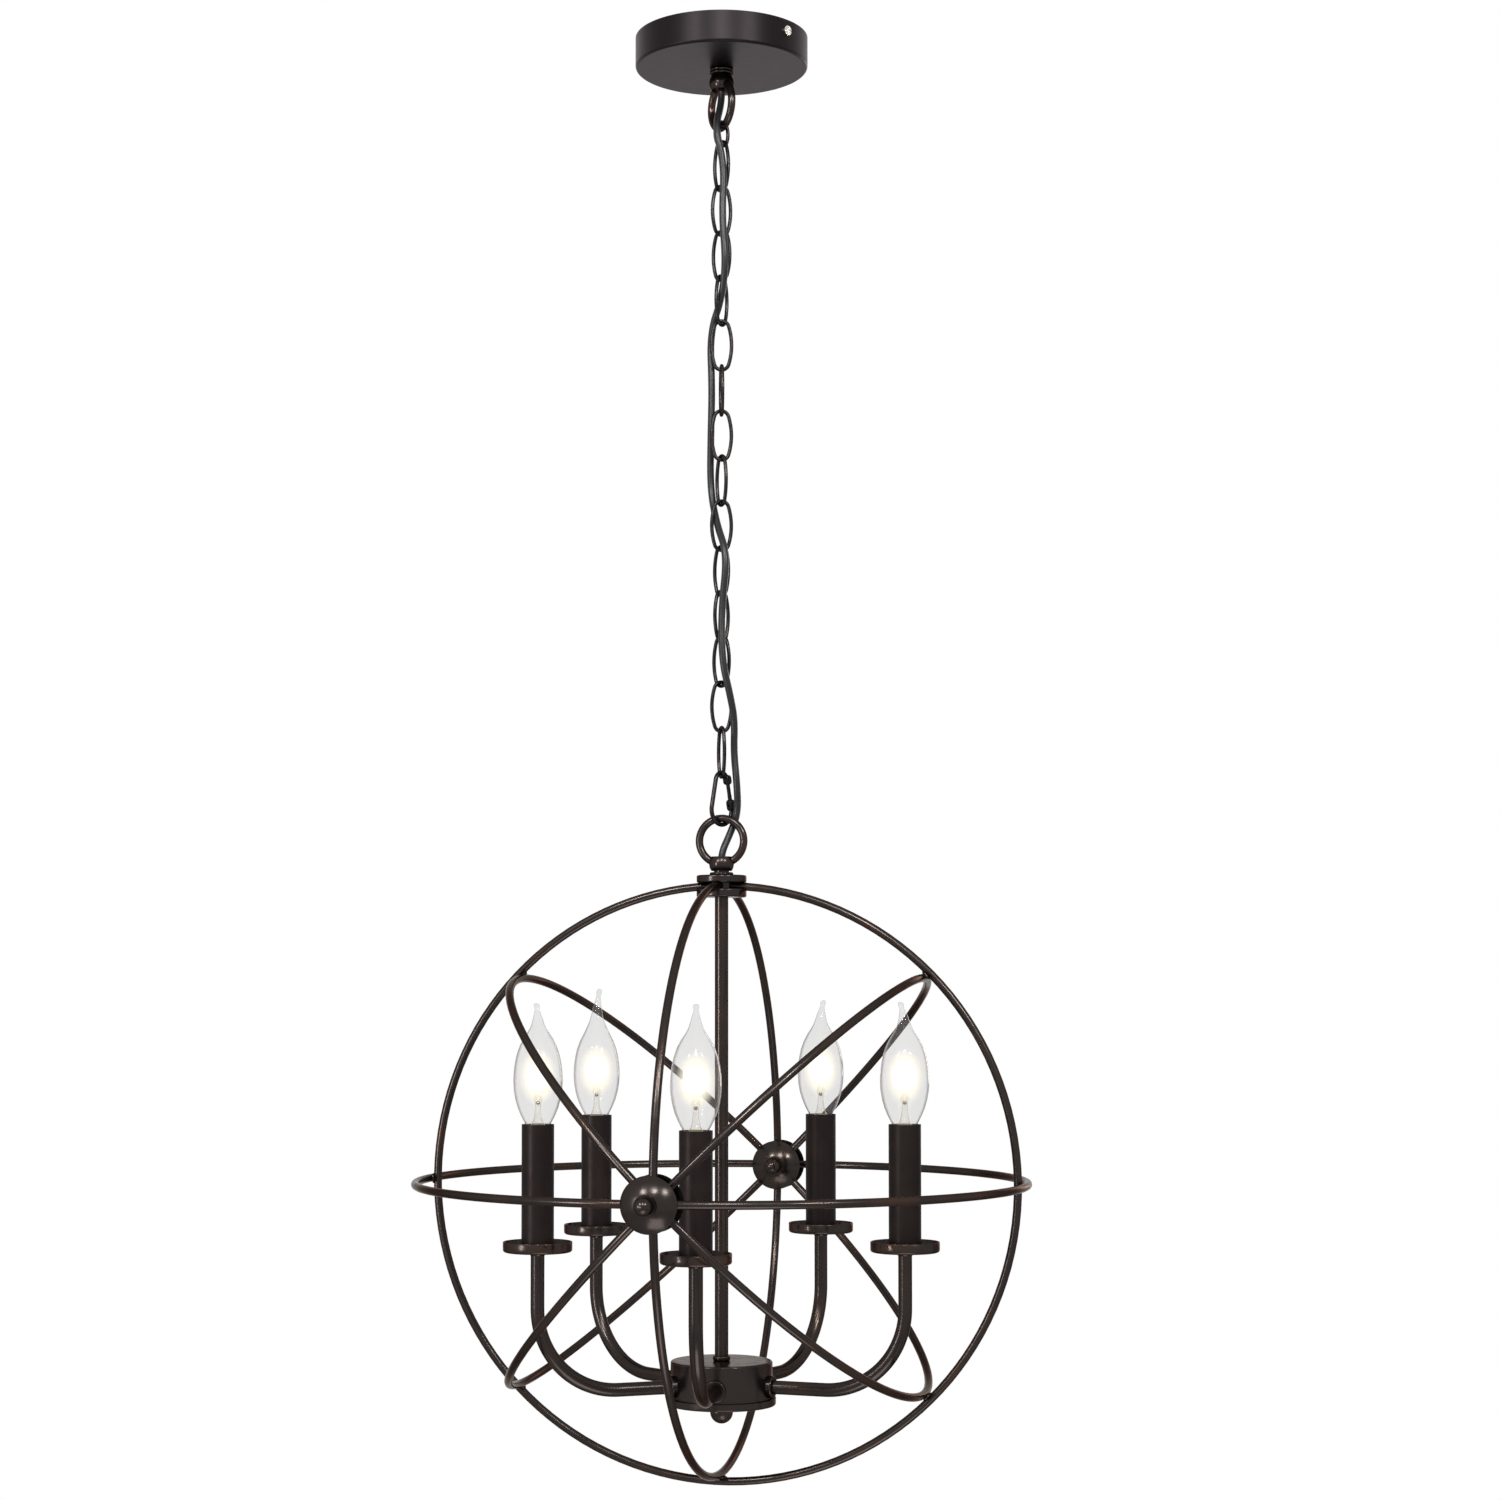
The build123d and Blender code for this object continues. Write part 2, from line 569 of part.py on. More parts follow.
with BuildPart() as ring_upright:
    with Locations(side_plane):
        Torus(upright_ring_radius, ROD / 2)
    with Locations((0, 0, clamp_middle)):
        Cylinder(CLAMP_CORE_RADIUS + SEAT_GAP, 2 * ROD, mode=Mode.SUBTRACT)
    with Locations(front_plane):
        Cylinder(BOSS_CORE_RADIUS + SEAT_GAP, 3 * FRONT_RING_RADIUS, mode=Mode.SUBTRACT)
place(ring_upright.part, "ring_upright")


def boss_ring(tilt, radius):
    """A ring through both bosses, tilted about the Y axis from level."""
    normal = (sin(radians(tilt)), 0, cos(radians(tilt)))
    with BuildPart() as ring:
        with Locations(Plane(origin=orb_middle, z_dir=normal)):
            Torus(radius, ROD / 2)
        with Locations(front_plane):
            Cylinder(BOSS_CORE_RADIUS + SEAT_GAP, 3 * FRONT_RING_RADIUS, mode=Mode.SUBTRACT)
    return ring.part


place(boss_ring(0, equator_radius), "ring_equator")
place(boss_ring(DIAGONAL_TILT, diagonal_radius), "ring_diagonal_left")
place(boss_ring(-DIAGONAL_TILT, diagonal_radius), "ring_diagonal_right")


def clamp_disc(height, thickness):
    """A disc of the top clamp, grooved where the two upright rings pass."""
    with BuildPart() as disc:
        with Locations((0, 0, height)):
            Cylinder(CLAMP_RADIUS, thickness, align=STANDING)
        fillet(disc.edges(), CLAMP_EDGE)
        with Locations((0, 0, height)):
            Cylinder(SPIGOT_RADIUS + SLIP_GAP, thickness, align=STANDING, mode=Mode.SUBTRACT)
        with Locations(front_plane):
            Torus(FRONT_RING_RADIUS, ROD / 2 + SEAT_GAP, mode=Mode.SUBTRACT)
        with Locations(side_plane):
            Torus(upright_ring_radius, ROD / 2 + SEAT_GAP, mode=Mode.SUBTRACT)
    return disc.part


place(clamp_disc(clamp_gap_top, UPPER_DISC_HEIGHT), "clamp_upper_disc")
place(clamp_disc(clamp_bottom, LOWER_DISC_HEIGHT), "clamp_lower_disc")
place(
    tube(clamp_gap_bottom, clamp_gap_top, CLAMP_CORE_RADIUS, SPIGOT_RADIUS + SLIP_GAP), "clamp_core"
)

# ---------------------------------------------------------------- bosses
# Each boss is modelled at -Y, from the inner rods' side outwards.
rods_inside = diagonal_radius - ROD / 2
core_inner = sqrt(rods_inside**2 - BOSS_CAP_RADIUS**2) - CAP_CLEARANCE
core_outer = equator_radius + ROD / 2 + CAP_CLEARANCE
dome_radius = (BOSS_CAP_RADIUS**2 + BOSS_CAP_HEIGHT**2) / (2 * BOSS_CAP_HEIGHT)
hole_radius = BOSS_STUD_RADIUS + SLIP_GAP
outer_plane = Plane(origin=(0, -core_outer, orb_centre), z_dir=(0, -1, 0))
inner_plane = Plane(origin=(0, -core_inner, orb_centre), z_dir=(0, 1, 0))


def front_and_back(parts):
    """The parts of the front boss and the same parts of the back one."""
    return Compound(children=[*parts, *[part.rotate(Axis.Z, 180) for part in parts]])


def boss_cap(plane):
    """A hollow dome that stands on a plane, with a hole for the knob's stud."""
    with BuildPart() as cap:
        for radius, mode in ((dome_radius, Mode.ADD), (dome_radius - BOSS_CAP_WALL, Mode.SUBTRACT)):
            with Locations(plane.offset(BOSS_CAP_HEIGHT - dome_radius)):
                Sphere(radius, mode=mode)
        split(bisect_by=plane)
        with Locations(plane):
            Cylinder(hole_radius, BOSS_CAP_HEIGHT, align=STANDING, mode=Mode.SUBTRACT)
    return cap.part


def boss_knob(plane):
    """A ball knob on a cap's top, with its base seated on the dome and a stud behind."""
    with BuildPart() as knob:
        with Locations(plane):
            Cylinder(BOSS_KNOB_BASE_RADIUS, BOSS_CAP_HEIGHT + BOSS_KNOB_BASE, align=STANDING)
        with Locations(plane.offset(BOSS_CAP_HEIGHT + BOSS_KNOB_BASE + BOSS_KNOB_RISE)):
            Sphere(BOSS_KNOB_RADIUS)
        with Locations(plane.offset(BOSS_CAP_HEIGHT - dome_radius)):
            Sphere(dome_radius, mode=Mode.SUBTRACT)
        with Locations(plane.offset(BOSS_CAP_HEIGHT)):
            Cylinder(BOSS_STUD_RADIUS, BOSS_CAP_HEIGHT + BOSS_STUD_DEPTH, align=HANGING)
    return knob.part


with BuildPart() as boss_core:
    with Locations(outer_plane):
        Cylinder(BOSS_CORE_RADIUS, core_outer - core_inner, align=HANGING)
        Cylinder(hole_radius, core_outer - core_inner, align=HANGING, mode=Mode.SUBTRACT)
place(front_and_back([boss_core.part]), "boss_cores")
place(front_and_back([boss_cap(outer_plane)]), "boss_outer_caps")
place(front_and_back([boss_cap(inner_plane)]), "boss_inner_caps")
place(front_and_back([boss_knob(outer_plane), boss_knob(inner_plane)]), "boss_knobs")

# ---------------------------------------------------------------- stem and hub
place(tube(hub_top, clamp_bottom, STEM_RADIUS, STEM_BORE), "stem_tube")

with BuildPart() as stem_collar:
    with Locations((0, 0, hub_top)):
        Cylinder(STEM_COLLAR_RADIUS, STEM_COLLAR_HEIGHT, align=STANDING)
        fillet(stem_collar.edges(), STEM_COLLAR_EDGE)
        Cylinder(
            STEM_RADIUS + SLIP_GAP, STEM_COLLAR_HEIGHT, align=STANDING, mode=Mode.SUBTRACT
        )
place(stem_collar.part, "stem_collar")

with BuildPart() as hub_pipe:
    add(tube(cover_bottom - FINIAL_THREAD, hub_top + SPIGOT_LENGTH, SPIGOT_RADIUS, WIRE_BORE))
    with Locations((0, 0, arm_height)):
        Box(2 * SPIGOT_RADIUS, WINDOW_WIDTH, WINDOW_HEIGHT, align=SIDEWAYS, mode=Mode.SUBTRACT)
place(hub_pipe.part, "hub_pipe")

with BuildPart() as hub_drum:
    with Locations((0, 0, hub_top)):
        Cylinder(HUB_RADIUS, HUB_HEIGHT, align=HANGING)
    fillet(hub_drum.edges().group_by(Axis.Z)[-1], HUB_EDGE)
    offset(amount=-HUB_WALL, openings=hub_drum.faces().sort_by(Axis.Z)[0])
    with Locations((0, 0, hub_top)):
        Cylinder(SPIGOT_RADIUS + SLIP_GAP, HUB_HEIGHT, align=HANGING, mode=Mode.SUBTRACT)
    for turn in ARM_TURNS:
        along = (cos(radians(turn)), sin(radians(turn)), 0)
        with Locations(Plane(origin=(0, 0, arm_height), z_dir=along)):
            Cylinder(ARM_RADIUS + SLIP_GAP, HUB_RADIUS, align=STANDING, mode=Mode.SUBTRACT)
place(hub_drum.part, "hub_drum")

with BuildPart() as hub_cover:
    with Locations((0, 0, cover_bottom)):
        Cylinder(COVER_RADIUS, COVER_HEIGHT, align=STANDING)
    fillet(hub_cover.edges().group_by(Axis.Z)[0], COVER_EDGE)
    offset(amount=-COVER_WALL, openings=hub_cover.faces().sort_by(Axis.Z)[-1])
    with Locations((0, 0, cover_bottom)):
        Cylinder(SPIGOT_RADIUS + SLIP_GAP, COVER_HEIGHT, align=STANDING, mode=Mode.SUBTRACT)
place(hub_cover.part, "hub_cover")

with BuildPart() as finial:
    with Locations((0, 0, cover_bottom)):
        Cylinder(FINIAL_NECK_RADIUS, FINIAL_NECK + FINIAL_RADIUS, align=HANGING)
    with Locations((0, 0, cover_bottom - FINIAL_HEIGHT + FINIAL_RADIUS)):
        Sphere(FINIAL_RADIUS)
    with Locations((0, 0, cover_bottom)):
        Box(4 * FINIAL_RADIUS, 4 * FINIAL_RADIUS, FINIAL_RADIUS, align=STANDING, mode=Mode.SUBTRACT)
        Cylinder(SPIGOT_RADIUS + SLIP_GAP, FINIAL_THREAD, align=HANGING, mode=Mode.SUBTRACT)
place(finial.part, "finial")

# ---------------------------------------------------------------- arms
# Everything on an arm is modelled over the +X axis and turned to its place.
arm_start = HUB_RADIUS - HUB_WALL - ARM_INSIDE
arm_shoulder = pan_floor - PAN_WALL - PAN_NECK_HEIGHT
nut_seat = sqrt((HUB_RADIUS - HUB_WALL) ** 2 - ARM_NUT_RADIUS**2)

with BuildPart() as arm:
    with BuildLine(Plane.XZ) as middle:
        FilletPolyline(
            (arm_start, arm_height),
            (CANDLE_CIRCLE, arm_height),
            (CANDLE_CIRCLE, arm_shoulder),
            radius=ARM_BEND,
        )
    with BuildSketch(Plane.YZ.offset(arm_start)):
        with Locations((0, arm_height)):
            Circle(ARM_RADIUS)
            Circle(ARM_BORE, mode=Mode.SUBTRACT)
    sweep(path=middle.wires()[0])
    with BuildSketch(Plane((CANDLE_CIRCLE, 0, arm_shoulder))):
        Circle(ARM_TIP_RADIUS)
        Circle(ARM_BORE, mode=Mode.SUBTRACT)
    extrude(amount=ARM_TIP_LENGTH)
for number, turn in enumerate(ARM_TURNS):
    place_round(arm.part, [turn], f"arm_{number + 1}")

with BuildPart() as arm_flange:
    with Locations(Plane((HUB_RADIUS + FLANGE_DEPTH, 0, arm_height), z_dir=(1, 0, 0))):
        Cylinder(FLANGE_RADIUS, 2 * FLANGE_DEPTH, align=HANGING)
        fillet(arm_flange.edges().group_by(Axis.X)[-1], FLANGE_EDGE)
        Cylinder(ARM_RADIUS + SLIP_GAP, 2 * FLANGE_DEPTH, align=HANGING, mode=Mode.SUBTRACT)
    with Locations((0, 0, arm_height)):
        Cylinder(HUB_RADIUS, 2 * HUB_HEIGHT, mode=Mode.SUBTRACT)
place_round(arm_flange.part, ARM_TURNS, "arm_flanges")

with BuildPart() as drip_pan:
    with BuildSketch(Plane.XZ):
        with BuildLine():
            low = pan_floor - PAN_WALL
            high = low + PAN_HEIGHT
            Polyline((0, high), (0, low), (PAN_FLOOR_RADIUS, low))
            TangentArc((PAN_FLOOR_RADIUS, low), (PAN_RADIUS, high), tangent=(1, 0))
            Line((PAN_RADIUS, high), (0, high))
        make_face()
    revolve(axis=Axis.Z)
    offset(amount=-PAN_WALL, openings=drip_pan.faces().sort_by(Axis.Z)[-1])
    with BuildSketch(Plane.XY.offset(low)):
        Circle(PAN_NECK_RADIUS)
    extrude(amount=-PAN_NECK_HEIGHT)
    with BuildSketch(Plane.XY.offset(pan_floor)):
        Circle(ARM_TIP_RADIUS + SLIP_GAP)
    extrude(amount=arm_shoulder - pan_floor, mode=Mode.SUBTRACT)
place_round(over_arm(drip_pan.part), ARM_TURNS, "drip_pans")

sleeve = tube(pan_floor, sleeve_top, SLEEVE_RADIUS, SLEEVE_RADIUS - SLEEVE_WALL)
place_round(over_arm(sleeve), ARM_TURNS, "candle_sleeves")

socket_top = sleeve_top - SOCKET_BELOW_SLEEVE
with BuildPart() as lamp_socket:
    with Locations((0, 0, socket_top)):
        Cylinder(SOCKET_RADIUS, SOCKET_HEIGHT, align=HANGING)
        Cylinder(BASE_RADIUS + BASE_GAP, SOCKET_DEPTH, align=HANGING, mode=Mode.SUBTRACT)
    with Locations((0, 0, pan_floor)):
        Cylinder(SOCKET_LEG_AT + SOCKET_LEG_THICKNESS / 2, SOCKET_FOOT, align=STANDING)
        Cylinder(ARM_TIP_RADIUS + SLIP_GAP, SOCKET_FOOT, align=STANDING, mode=Mode.SUBTRACT)
    with Locations((SOCKET_LEG_AT, 0, pan_floor + SOCKET_FOOT / 2)):
        Box(
            SOCKET_LEG_THICKNESS,
            SOCKET_LEG_WIDTH,
            socket_top - SOCKET_HEIGHT - pan_floor,
            align=STANDING,
        )
place_round(over_arm(lamp_socket.part), ARM_TURNS, "lamp_sockets")

locknuts = [
    hex_nut(
        Plane.XY.offset(hub_top - HUB_WALL - LOCKNUT_HEIGHT),
        LOCKNUT_RADIUS,
        SPIGOT_RADIUS + SLIP_GAP,
        LOCKNUT_HEIGHT,
    )
]
arm_nut = hex_nut(
    Plane((nut_seat, 0, arm_height), x_dir=(0, 0, 1), z_dir=(-1, 0, 0)),
    ARM_NUT_RADIUS,
    ARM_RADIUS + SLIP_GAP,
    ARM_NUT_HEIGHT,
)
candle_nut = hex_nut(
    Plane.XY.offset(pan_floor + SOCKET_FOOT),
    CANDLE_NUT_RADIUS,
    ARM_TIP_RADIUS + SLIP_GAP,
    ARM_NUT_HEIGHT,
)
for turn in ARM_TURNS:
    locknuts.append(arm_nut.rotate(Axis.Z, turn))
    locknuts.append(over_arm(candle_nut).rotate(Axis.Z, turn))
place(Compound(children=locknuts), "locknuts")

# ---------------------------------------------------------------- bulbs
def bulb_half(wall):
    """Half of the bulb's flame outline, drawn in all over by a wall."""
    low = sleeve_top + wall
    high = sleeve_top + BULB_HEIGHT - wall
    widest = (BULB_RADIUS - wall, sleeve_top + BULB_WIDEST)
    shoulder = (BULB_SHOULDER_RADIUS - wall, sleeve_top + BULB_SHOULDER)
    tip = (BULB_TIP_RADIUS - wall, high - BULB_TIP_RADIUS + wall)
    with BuildSketch() as half:
        with BuildLine():
            Polyline((0, high), (0, low), (BULB_NECK_RADIUS - wall, low))
            TangentArc(widest, (BULB_NECK_RADIUS - wall, low), tangent=(0, -1))
            side = TangentArc(widest, shoulder, tangent=(0, 1))
            TangentArc(shoulder, tip, tangent=side % 1)
            CenterArc((0, tip[1]), tip[0], 0, 90)
        make_face()
    return half.sketch


with BuildPart() as bulb_glass:
    with BuildSketch(Plane.XZ):
        add(bulb_half(0))
        add(bulb_half(BULB_WALL), mode=Mode.SUBTRACT)
    revolve(axis=Axis.Z)

with BuildPart() as bulb_base:
    with Locations((0, 0, sleeve_top)):
        Cylinder(BASE_SKIRT_RADIUS, BASE_SKIRT, align=HANGING)
    with Locations((0, 0, sleeve_top - BASE_SKIRT)):
        Cylinder(BASE_RADIUS, BASE_LENGTH, align=HANGING)
    with Locations((0, 0, sleeve_top - BASE_SKIRT - BASE_LENGTH)):
        Cylinder(BASE_BUTTON_RADIUS, BASE_BUTTON, align=HANGING)
for number, turn in enumerate(ARM_TURNS):
    bulb = [over_arm(solid).rotate(Axis.Z, turn) for solid in (bulb_glass.part, bulb_base.part)]
    place(Compound(children=bulb), f"bulb_{number + 1}")

# ---------------------------------------------------------------- power cable
# It comes down the canopy's pipe, is woven through the chain and runs on inside the stem.
cable_points = [Vector(*point) for point in (*CABLE_POINTS, (0, 0, arm_height))]
runs = [end - start for start, end in zip(cable_points, cable_points[1:])]
bend_radii = []
for before, after in zip(runs, runs[1:]):
    half_turn = radians(before.get_angle(after)) / 2
    bend_radii.append(CABLE_BEND * min(before.length, after.length) / tan(half_turn))

with BuildPart() as power_cable:
    with BuildLine() as route:
        FilletPolyline(*cable_points, radius=bend_radii)
    with BuildSketch(Plane(origin=cable_points[0], z_dir=runs[0])):
        Circle(CABLE_RADIUS)
    sweep(path=route.wires()[0])
place(power_cable.part, "power_cable")

section_volume = pi * CABLE_RADIUS**2 * route.wires()[0].length
print("cable bend radii", [round(radius) for radius in bend_radii])
print("cable volume over section times length", round(power_cable.part.volume / section_volume, 4))
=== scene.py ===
"""Orb chandelier: finishes, lit bulbs, woven cable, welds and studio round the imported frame."""

import json
import logging
import math
from dataclasses import dataclass, field
from enum import Enum
from typing import Any, Protocol

import bmesh
import bpy
from mathutils import Matrix, Vector

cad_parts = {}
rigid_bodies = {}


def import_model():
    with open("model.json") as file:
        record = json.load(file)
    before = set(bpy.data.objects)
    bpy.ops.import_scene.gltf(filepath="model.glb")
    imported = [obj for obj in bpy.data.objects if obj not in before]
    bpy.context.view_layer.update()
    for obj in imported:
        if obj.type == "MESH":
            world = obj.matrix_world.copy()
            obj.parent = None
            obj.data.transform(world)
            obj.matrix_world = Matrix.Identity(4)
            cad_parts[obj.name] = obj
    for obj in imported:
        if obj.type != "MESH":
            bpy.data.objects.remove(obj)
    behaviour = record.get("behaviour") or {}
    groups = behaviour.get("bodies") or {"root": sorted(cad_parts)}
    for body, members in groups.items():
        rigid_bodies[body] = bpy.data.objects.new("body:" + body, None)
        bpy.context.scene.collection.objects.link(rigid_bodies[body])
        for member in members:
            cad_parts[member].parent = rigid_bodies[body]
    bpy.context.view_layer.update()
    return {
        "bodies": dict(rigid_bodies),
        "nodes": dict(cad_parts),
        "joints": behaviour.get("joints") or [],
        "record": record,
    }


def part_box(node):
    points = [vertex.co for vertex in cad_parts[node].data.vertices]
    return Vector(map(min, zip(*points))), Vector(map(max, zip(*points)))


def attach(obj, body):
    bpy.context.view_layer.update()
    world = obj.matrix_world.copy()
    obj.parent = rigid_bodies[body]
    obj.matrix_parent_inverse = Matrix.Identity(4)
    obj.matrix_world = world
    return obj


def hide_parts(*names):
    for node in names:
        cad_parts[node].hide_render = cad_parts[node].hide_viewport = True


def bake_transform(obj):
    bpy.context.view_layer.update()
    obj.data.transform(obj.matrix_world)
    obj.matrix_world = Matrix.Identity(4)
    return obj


log = logging.getLogger("orb_chandelier")

MM = 0.001
WELD_WITHIN = 1e-6  # metres between doubles that are merged
Points = tuple[tuple[float, float], ...]


# ---------------------------------------------------------------- small tools
def linear(hex_colour: str) -> tuple[float, float, float, float]:
    """Turn an sRGB hex colour into linear red, green, blue and alpha.

    Args:
        hex_colour: Six hex digits, with or without a leading #.

    Returns:
        Linear colour with an alpha of 1.
    """
    digits = hex_colour.lstrip("#")
    values = [int(digits[start : start + 2], 16) / 255 for start in (0, 2, 4)]
    red, green, blue = (v / 12.92 if v <= 0.04045 else ((v + 0.055) / 1.055) ** 2.4 for v in values)
    return red, green, blue, 1.0


def add_node(
    tree: bpy.types.NodeTree,
    kind: str,
    inputs: dict[str | int, Any] | None = None,
    stops: list[tuple[float, str]] | None = None,
    **settings: Any,
) -> bpy.types.Node:
    """Add one node, set it and link it.

    Args:
        tree: Node tree that gets the node.
        kind: Blender's type name of the node.
        inputs: Socket name or number to a value, or to an output socket to link.
        stops: Positions and hex colours of a colour ramp.
        settings: The node's own properties.

    Returns:
        The new node.
    """
    node = tree.nodes.new(kind)
    for name, value in settings.items():
        setattr(node, name, value)
    for key, value in (inputs or {}).items():
        if isinstance(value, bpy.types.NodeSocket):
            tree.links.new(value, node.inputs[key])
        else:
            node.inputs[key].default_value = value
    if stops:
        elements = node.color_ramp.elements
        while len(elements) < len(stops):
            elements.new(1.0)
        for element, (position, colour) in zip(elements, stops):
            element.position = position
            element.color = linear(colour)
    return node


def new_material(name: str) -> tuple[bpy.types.Material, bpy.types.NodeTree]:
    """Make a material with an empty node tree.

    Args:
        name: The material's name.

    Returns:
        The material and its node tree.
    """
    material = bpy.data.materials.new(name)
    material.use_nodes = True
    material.node_tree.nodes.clear()
    return material, material.node_tree


def finish_material(tree: bpy.types.NodeTree, shader: bpy.types.NodeSocket) -> None:
    """Link a shader to the material's output.

    Args:
        tree: Node tree of the material.
        shader: The shader's output socket.
    """
    add_node(tree, "ShaderNodeOutputMaterial", {"Surface": shader})


def noise(
    tree: bpy.types.NodeTree, size_mm: float, detail: float, stretch: float = 1.0
) -> bpy.types.NodeSocket:
    """Noise on Object coordinates whose blotches have a real size.

    Args:
        tree: Node tree of the material.
        size_mm: Width of one blotch in millimetres.
        detail: Octaves of finer noise.
        stretch: How many times longer the blotches are along Z.

    Returns:
        The noise value's socket.
    """
    place = add_node(tree, "ShaderNodeTexCoord")
    stretched = add_node(
        tree,
        "ShaderNodeMapping",
        {"Vector": place.outputs["Object"], "Scale": (1.0, 1.0, 1.0 / stretch)},
    )
    texture = add_node(
        tree,
        "ShaderNodeTexNoise",
        {"Vector": stretched.outputs["Vector"], "Scale": 1.0 / (size_mm * MM), "Detail": detail},
    )
    return texture.outputs[0]


# ---------------------------------------------------------------- finishes
class Finish(Protocol):
    """What every finish below has: a name, and a way to make its material."""

    @property
    def name(self) -> str:
        """Name of the material."""

    def build(self) -> bpy.types.Material:
        """Make the material."""


@dataclass(frozen=True)
class SatinPaint:
    """Sprayed paint with metal flake on steel: a dark body with bright lines along the rods."""

    name: str
    dark: str
    rubbed: str  # where the top coat is rubbed thin
    metallic: float
    roughness: float
    specular: float
    sheen: str  # tint of the gloss where the surface is seen edge on
    patch_mm: float = 42.0  # width of the rubbed patches
    peel_mm: float = 5.0  # orange peel of the sprayed coat
    peel_depth_mm: float = 0.008
    gloss_mm: float = 7.0  # width of the duller and shinier spots
    gloss_spread: float = 0.05

    def build(self) -> bpy.types.Material:
        """Make the material.

        Returns:
            The painted metal.
        """
        material, tree = new_material(self.name)
        tones = add_node(
            tree,
            "ShaderNodeValToRGB",
            {"Fac": noise(tree, self.patch_mm, 2.0)},
            stops=[(0.52, self.dark), (0.78, self.rubbed)],
        )
        gloss = add_node(
            tree,
            "ShaderNodeMapRange",
            {
                "Value": noise(tree, self.gloss_mm, 3.0),
                "From Min": 0.3,
                "From Max": 0.7,
                "To Min": self.roughness - self.gloss_spread,
                "To Max": self.roughness + self.gloss_spread,
            },
        )
        peel = add_node(
            tree,
            "ShaderNodeBump",
            {
                "Height": noise(tree, self.peel_mm, 1.0),
                "Strength": 0.5,
                "Distance": self.peel_depth_mm * MM,
            },
        )
        shader = add_node(
            tree,
            "ShaderNodeBsdfPrincipled",
            {
                "Base Color": tones.outputs["Color"],
                "Metallic": self.metallic,
                "Roughness": gloss.outputs[0],
                "Specular IOR Level": self.specular,
                "Specular Tint": linear(self.sheen),
                "Normal": peel.outputs["Normal"],
            },
        )
        finish_material(tree, shader.outputs[0])
        return material


@dataclass(frozen=True)
class PlatedMetal:
    """Plated steel or brass: a bright metal with cloudy spots and fine drawing lines."""

    name: str
    colour: str
    cloud: str
    roughness: float
    cloud_mm: float = 3.5
    line_mm: float = 0.35  # real lines are a tenth of that, too fine to show
    line_depth_mm: float = 0.02
    line_stretch: float = 12.0

    def build(self) -> bpy.types.Material:
        """Make the material.

        Returns:
            The plated metal.
        """
        material, tree = new_material(self.name)
        tones = add_node(
            tree,
            "ShaderNodeValToRGB",
            {"Fac": noise(tree, self.cloud_mm, 4.0)},
            stops=[(0.35, self.colour), (0.75, self.cloud)],
        )
        lines = add_node(
            tree,
            "ShaderNodeBump",
            {
                "Height": noise(tree, self.line_mm, 1.0, self.line_stretch),
                "Strength": 0.35,
                "Distance": self.line_depth_mm * MM,
            },
        )
        shader = add_node(
            tree,
            "ShaderNodeBsdfPrincipled",
            {
                "Base Color": tones.outputs["Color"],
                "Metallic": 1.0,
                "Roughness": self.roughness,
                "Normal": lines.outputs["Normal"],
            },
        )
        finish_material(tree, shader.outputs[0])
        return material


@dataclass(frozen=True)
class MouldedPlastic:
    """Extruded or moulded plastic: one dark tone, a slight mottling and a soft skin."""

    name: str
    colour: str
    mottle: str
    roughness: float
    grain_mm: float
    specular: float = 0.5
    mottle_mm: float = 12.0
    grain_depth_mm: float = 0.03

    def build(self) -> bpy.types.Material:
        """Make the material.

        Returns:
            The plastic.
        """
        material, tree = new_material(self.name)
        tones = add_node(
            tree,
            "ShaderNodeValToRGB",
            {"Fac": noise(tree, self.mottle_mm, 3.0)},
            stops=[(0.35, self.colour), (0.75, self.mottle)],
        )
        skin = add_node(
            tree,
            "ShaderNodeBump",
            {
                "Height": noise(tree, self.grain_mm, 2.0),
                "Strength": 0.4,
                "Distance": self.grain_depth_mm * MM,
            },
        )
        shader = add_node(
            tree,
            "ShaderNodeBsdfPrincipled",
            {
                "Base Color": tones.outputs["Color"],
                "Roughness": self.roughness,
                "Specular IOR Level": self.specular,
                "Normal": skin.outputs["Normal"],
            },
        )
        finish_material(tree, shader.outputs[0])
        return material


@dataclass(frozen=True)
class BlownGlass:
    """Thin blown soda-lime glass: clear in the middle, grey where its wall is seen edge on."""

    name: str
    edge: str = "#7f7d7c"
    clear: float = 0.17  # cover of the wall seen face on
    grey: float = 0.85  # cover of the wall seen edge on
    bend: float = 0.42  # how far in from the outline the grey reaches
    thin_at: float = 0.35  # share of the way to edge on where the grey begins
    thick_at: float = 0.80  # and where it is full
    roughness: float = 0.04
    ripple_mm: float = 9.0  # waves that blowing leaves in the wall
    ripple_depth_mm: float = 0.05
    ripple_stretch: float = 3.0

    def build(self) -> bpy.types.Material:
        """Make the material.

        Returns:
            The clear glass.
        """
        material, tree = new_material(self.name)
        facing = add_node(tree, "ShaderNodeLayerWeight", {"Blend": self.bend})
        cover = add_node(
            tree,
            "ShaderNodeMapRange",
            {
                "Value": facing.outputs["Facing"],
                "From Min": self.thin_at,
                "From Max": self.thick_at,
                "To Min": self.clear,
                "To Max": self.grey,
            },
            interpolation_type="SMOOTHERSTEP",
        )
        ripple = add_node(
            tree,
            "ShaderNodeBump",
            {
                "Height": noise(tree, self.ripple_mm, 1.0, self.ripple_stretch),
                "Strength": 0.5,
                "Distance": self.ripple_depth_mm * MM,
            },
        )
        shader = add_node(
            tree,
            "ShaderNodeBsdfPrincipled",
            {
                "Base Color": linear(self.edge),
                "Roughness": self.roughness,
                "Alpha": cover.outputs[0],
                "Normal": ripple.outputs["Normal"],
            },
        )
        finish_material(tree, shader.outputs[0])
        return material


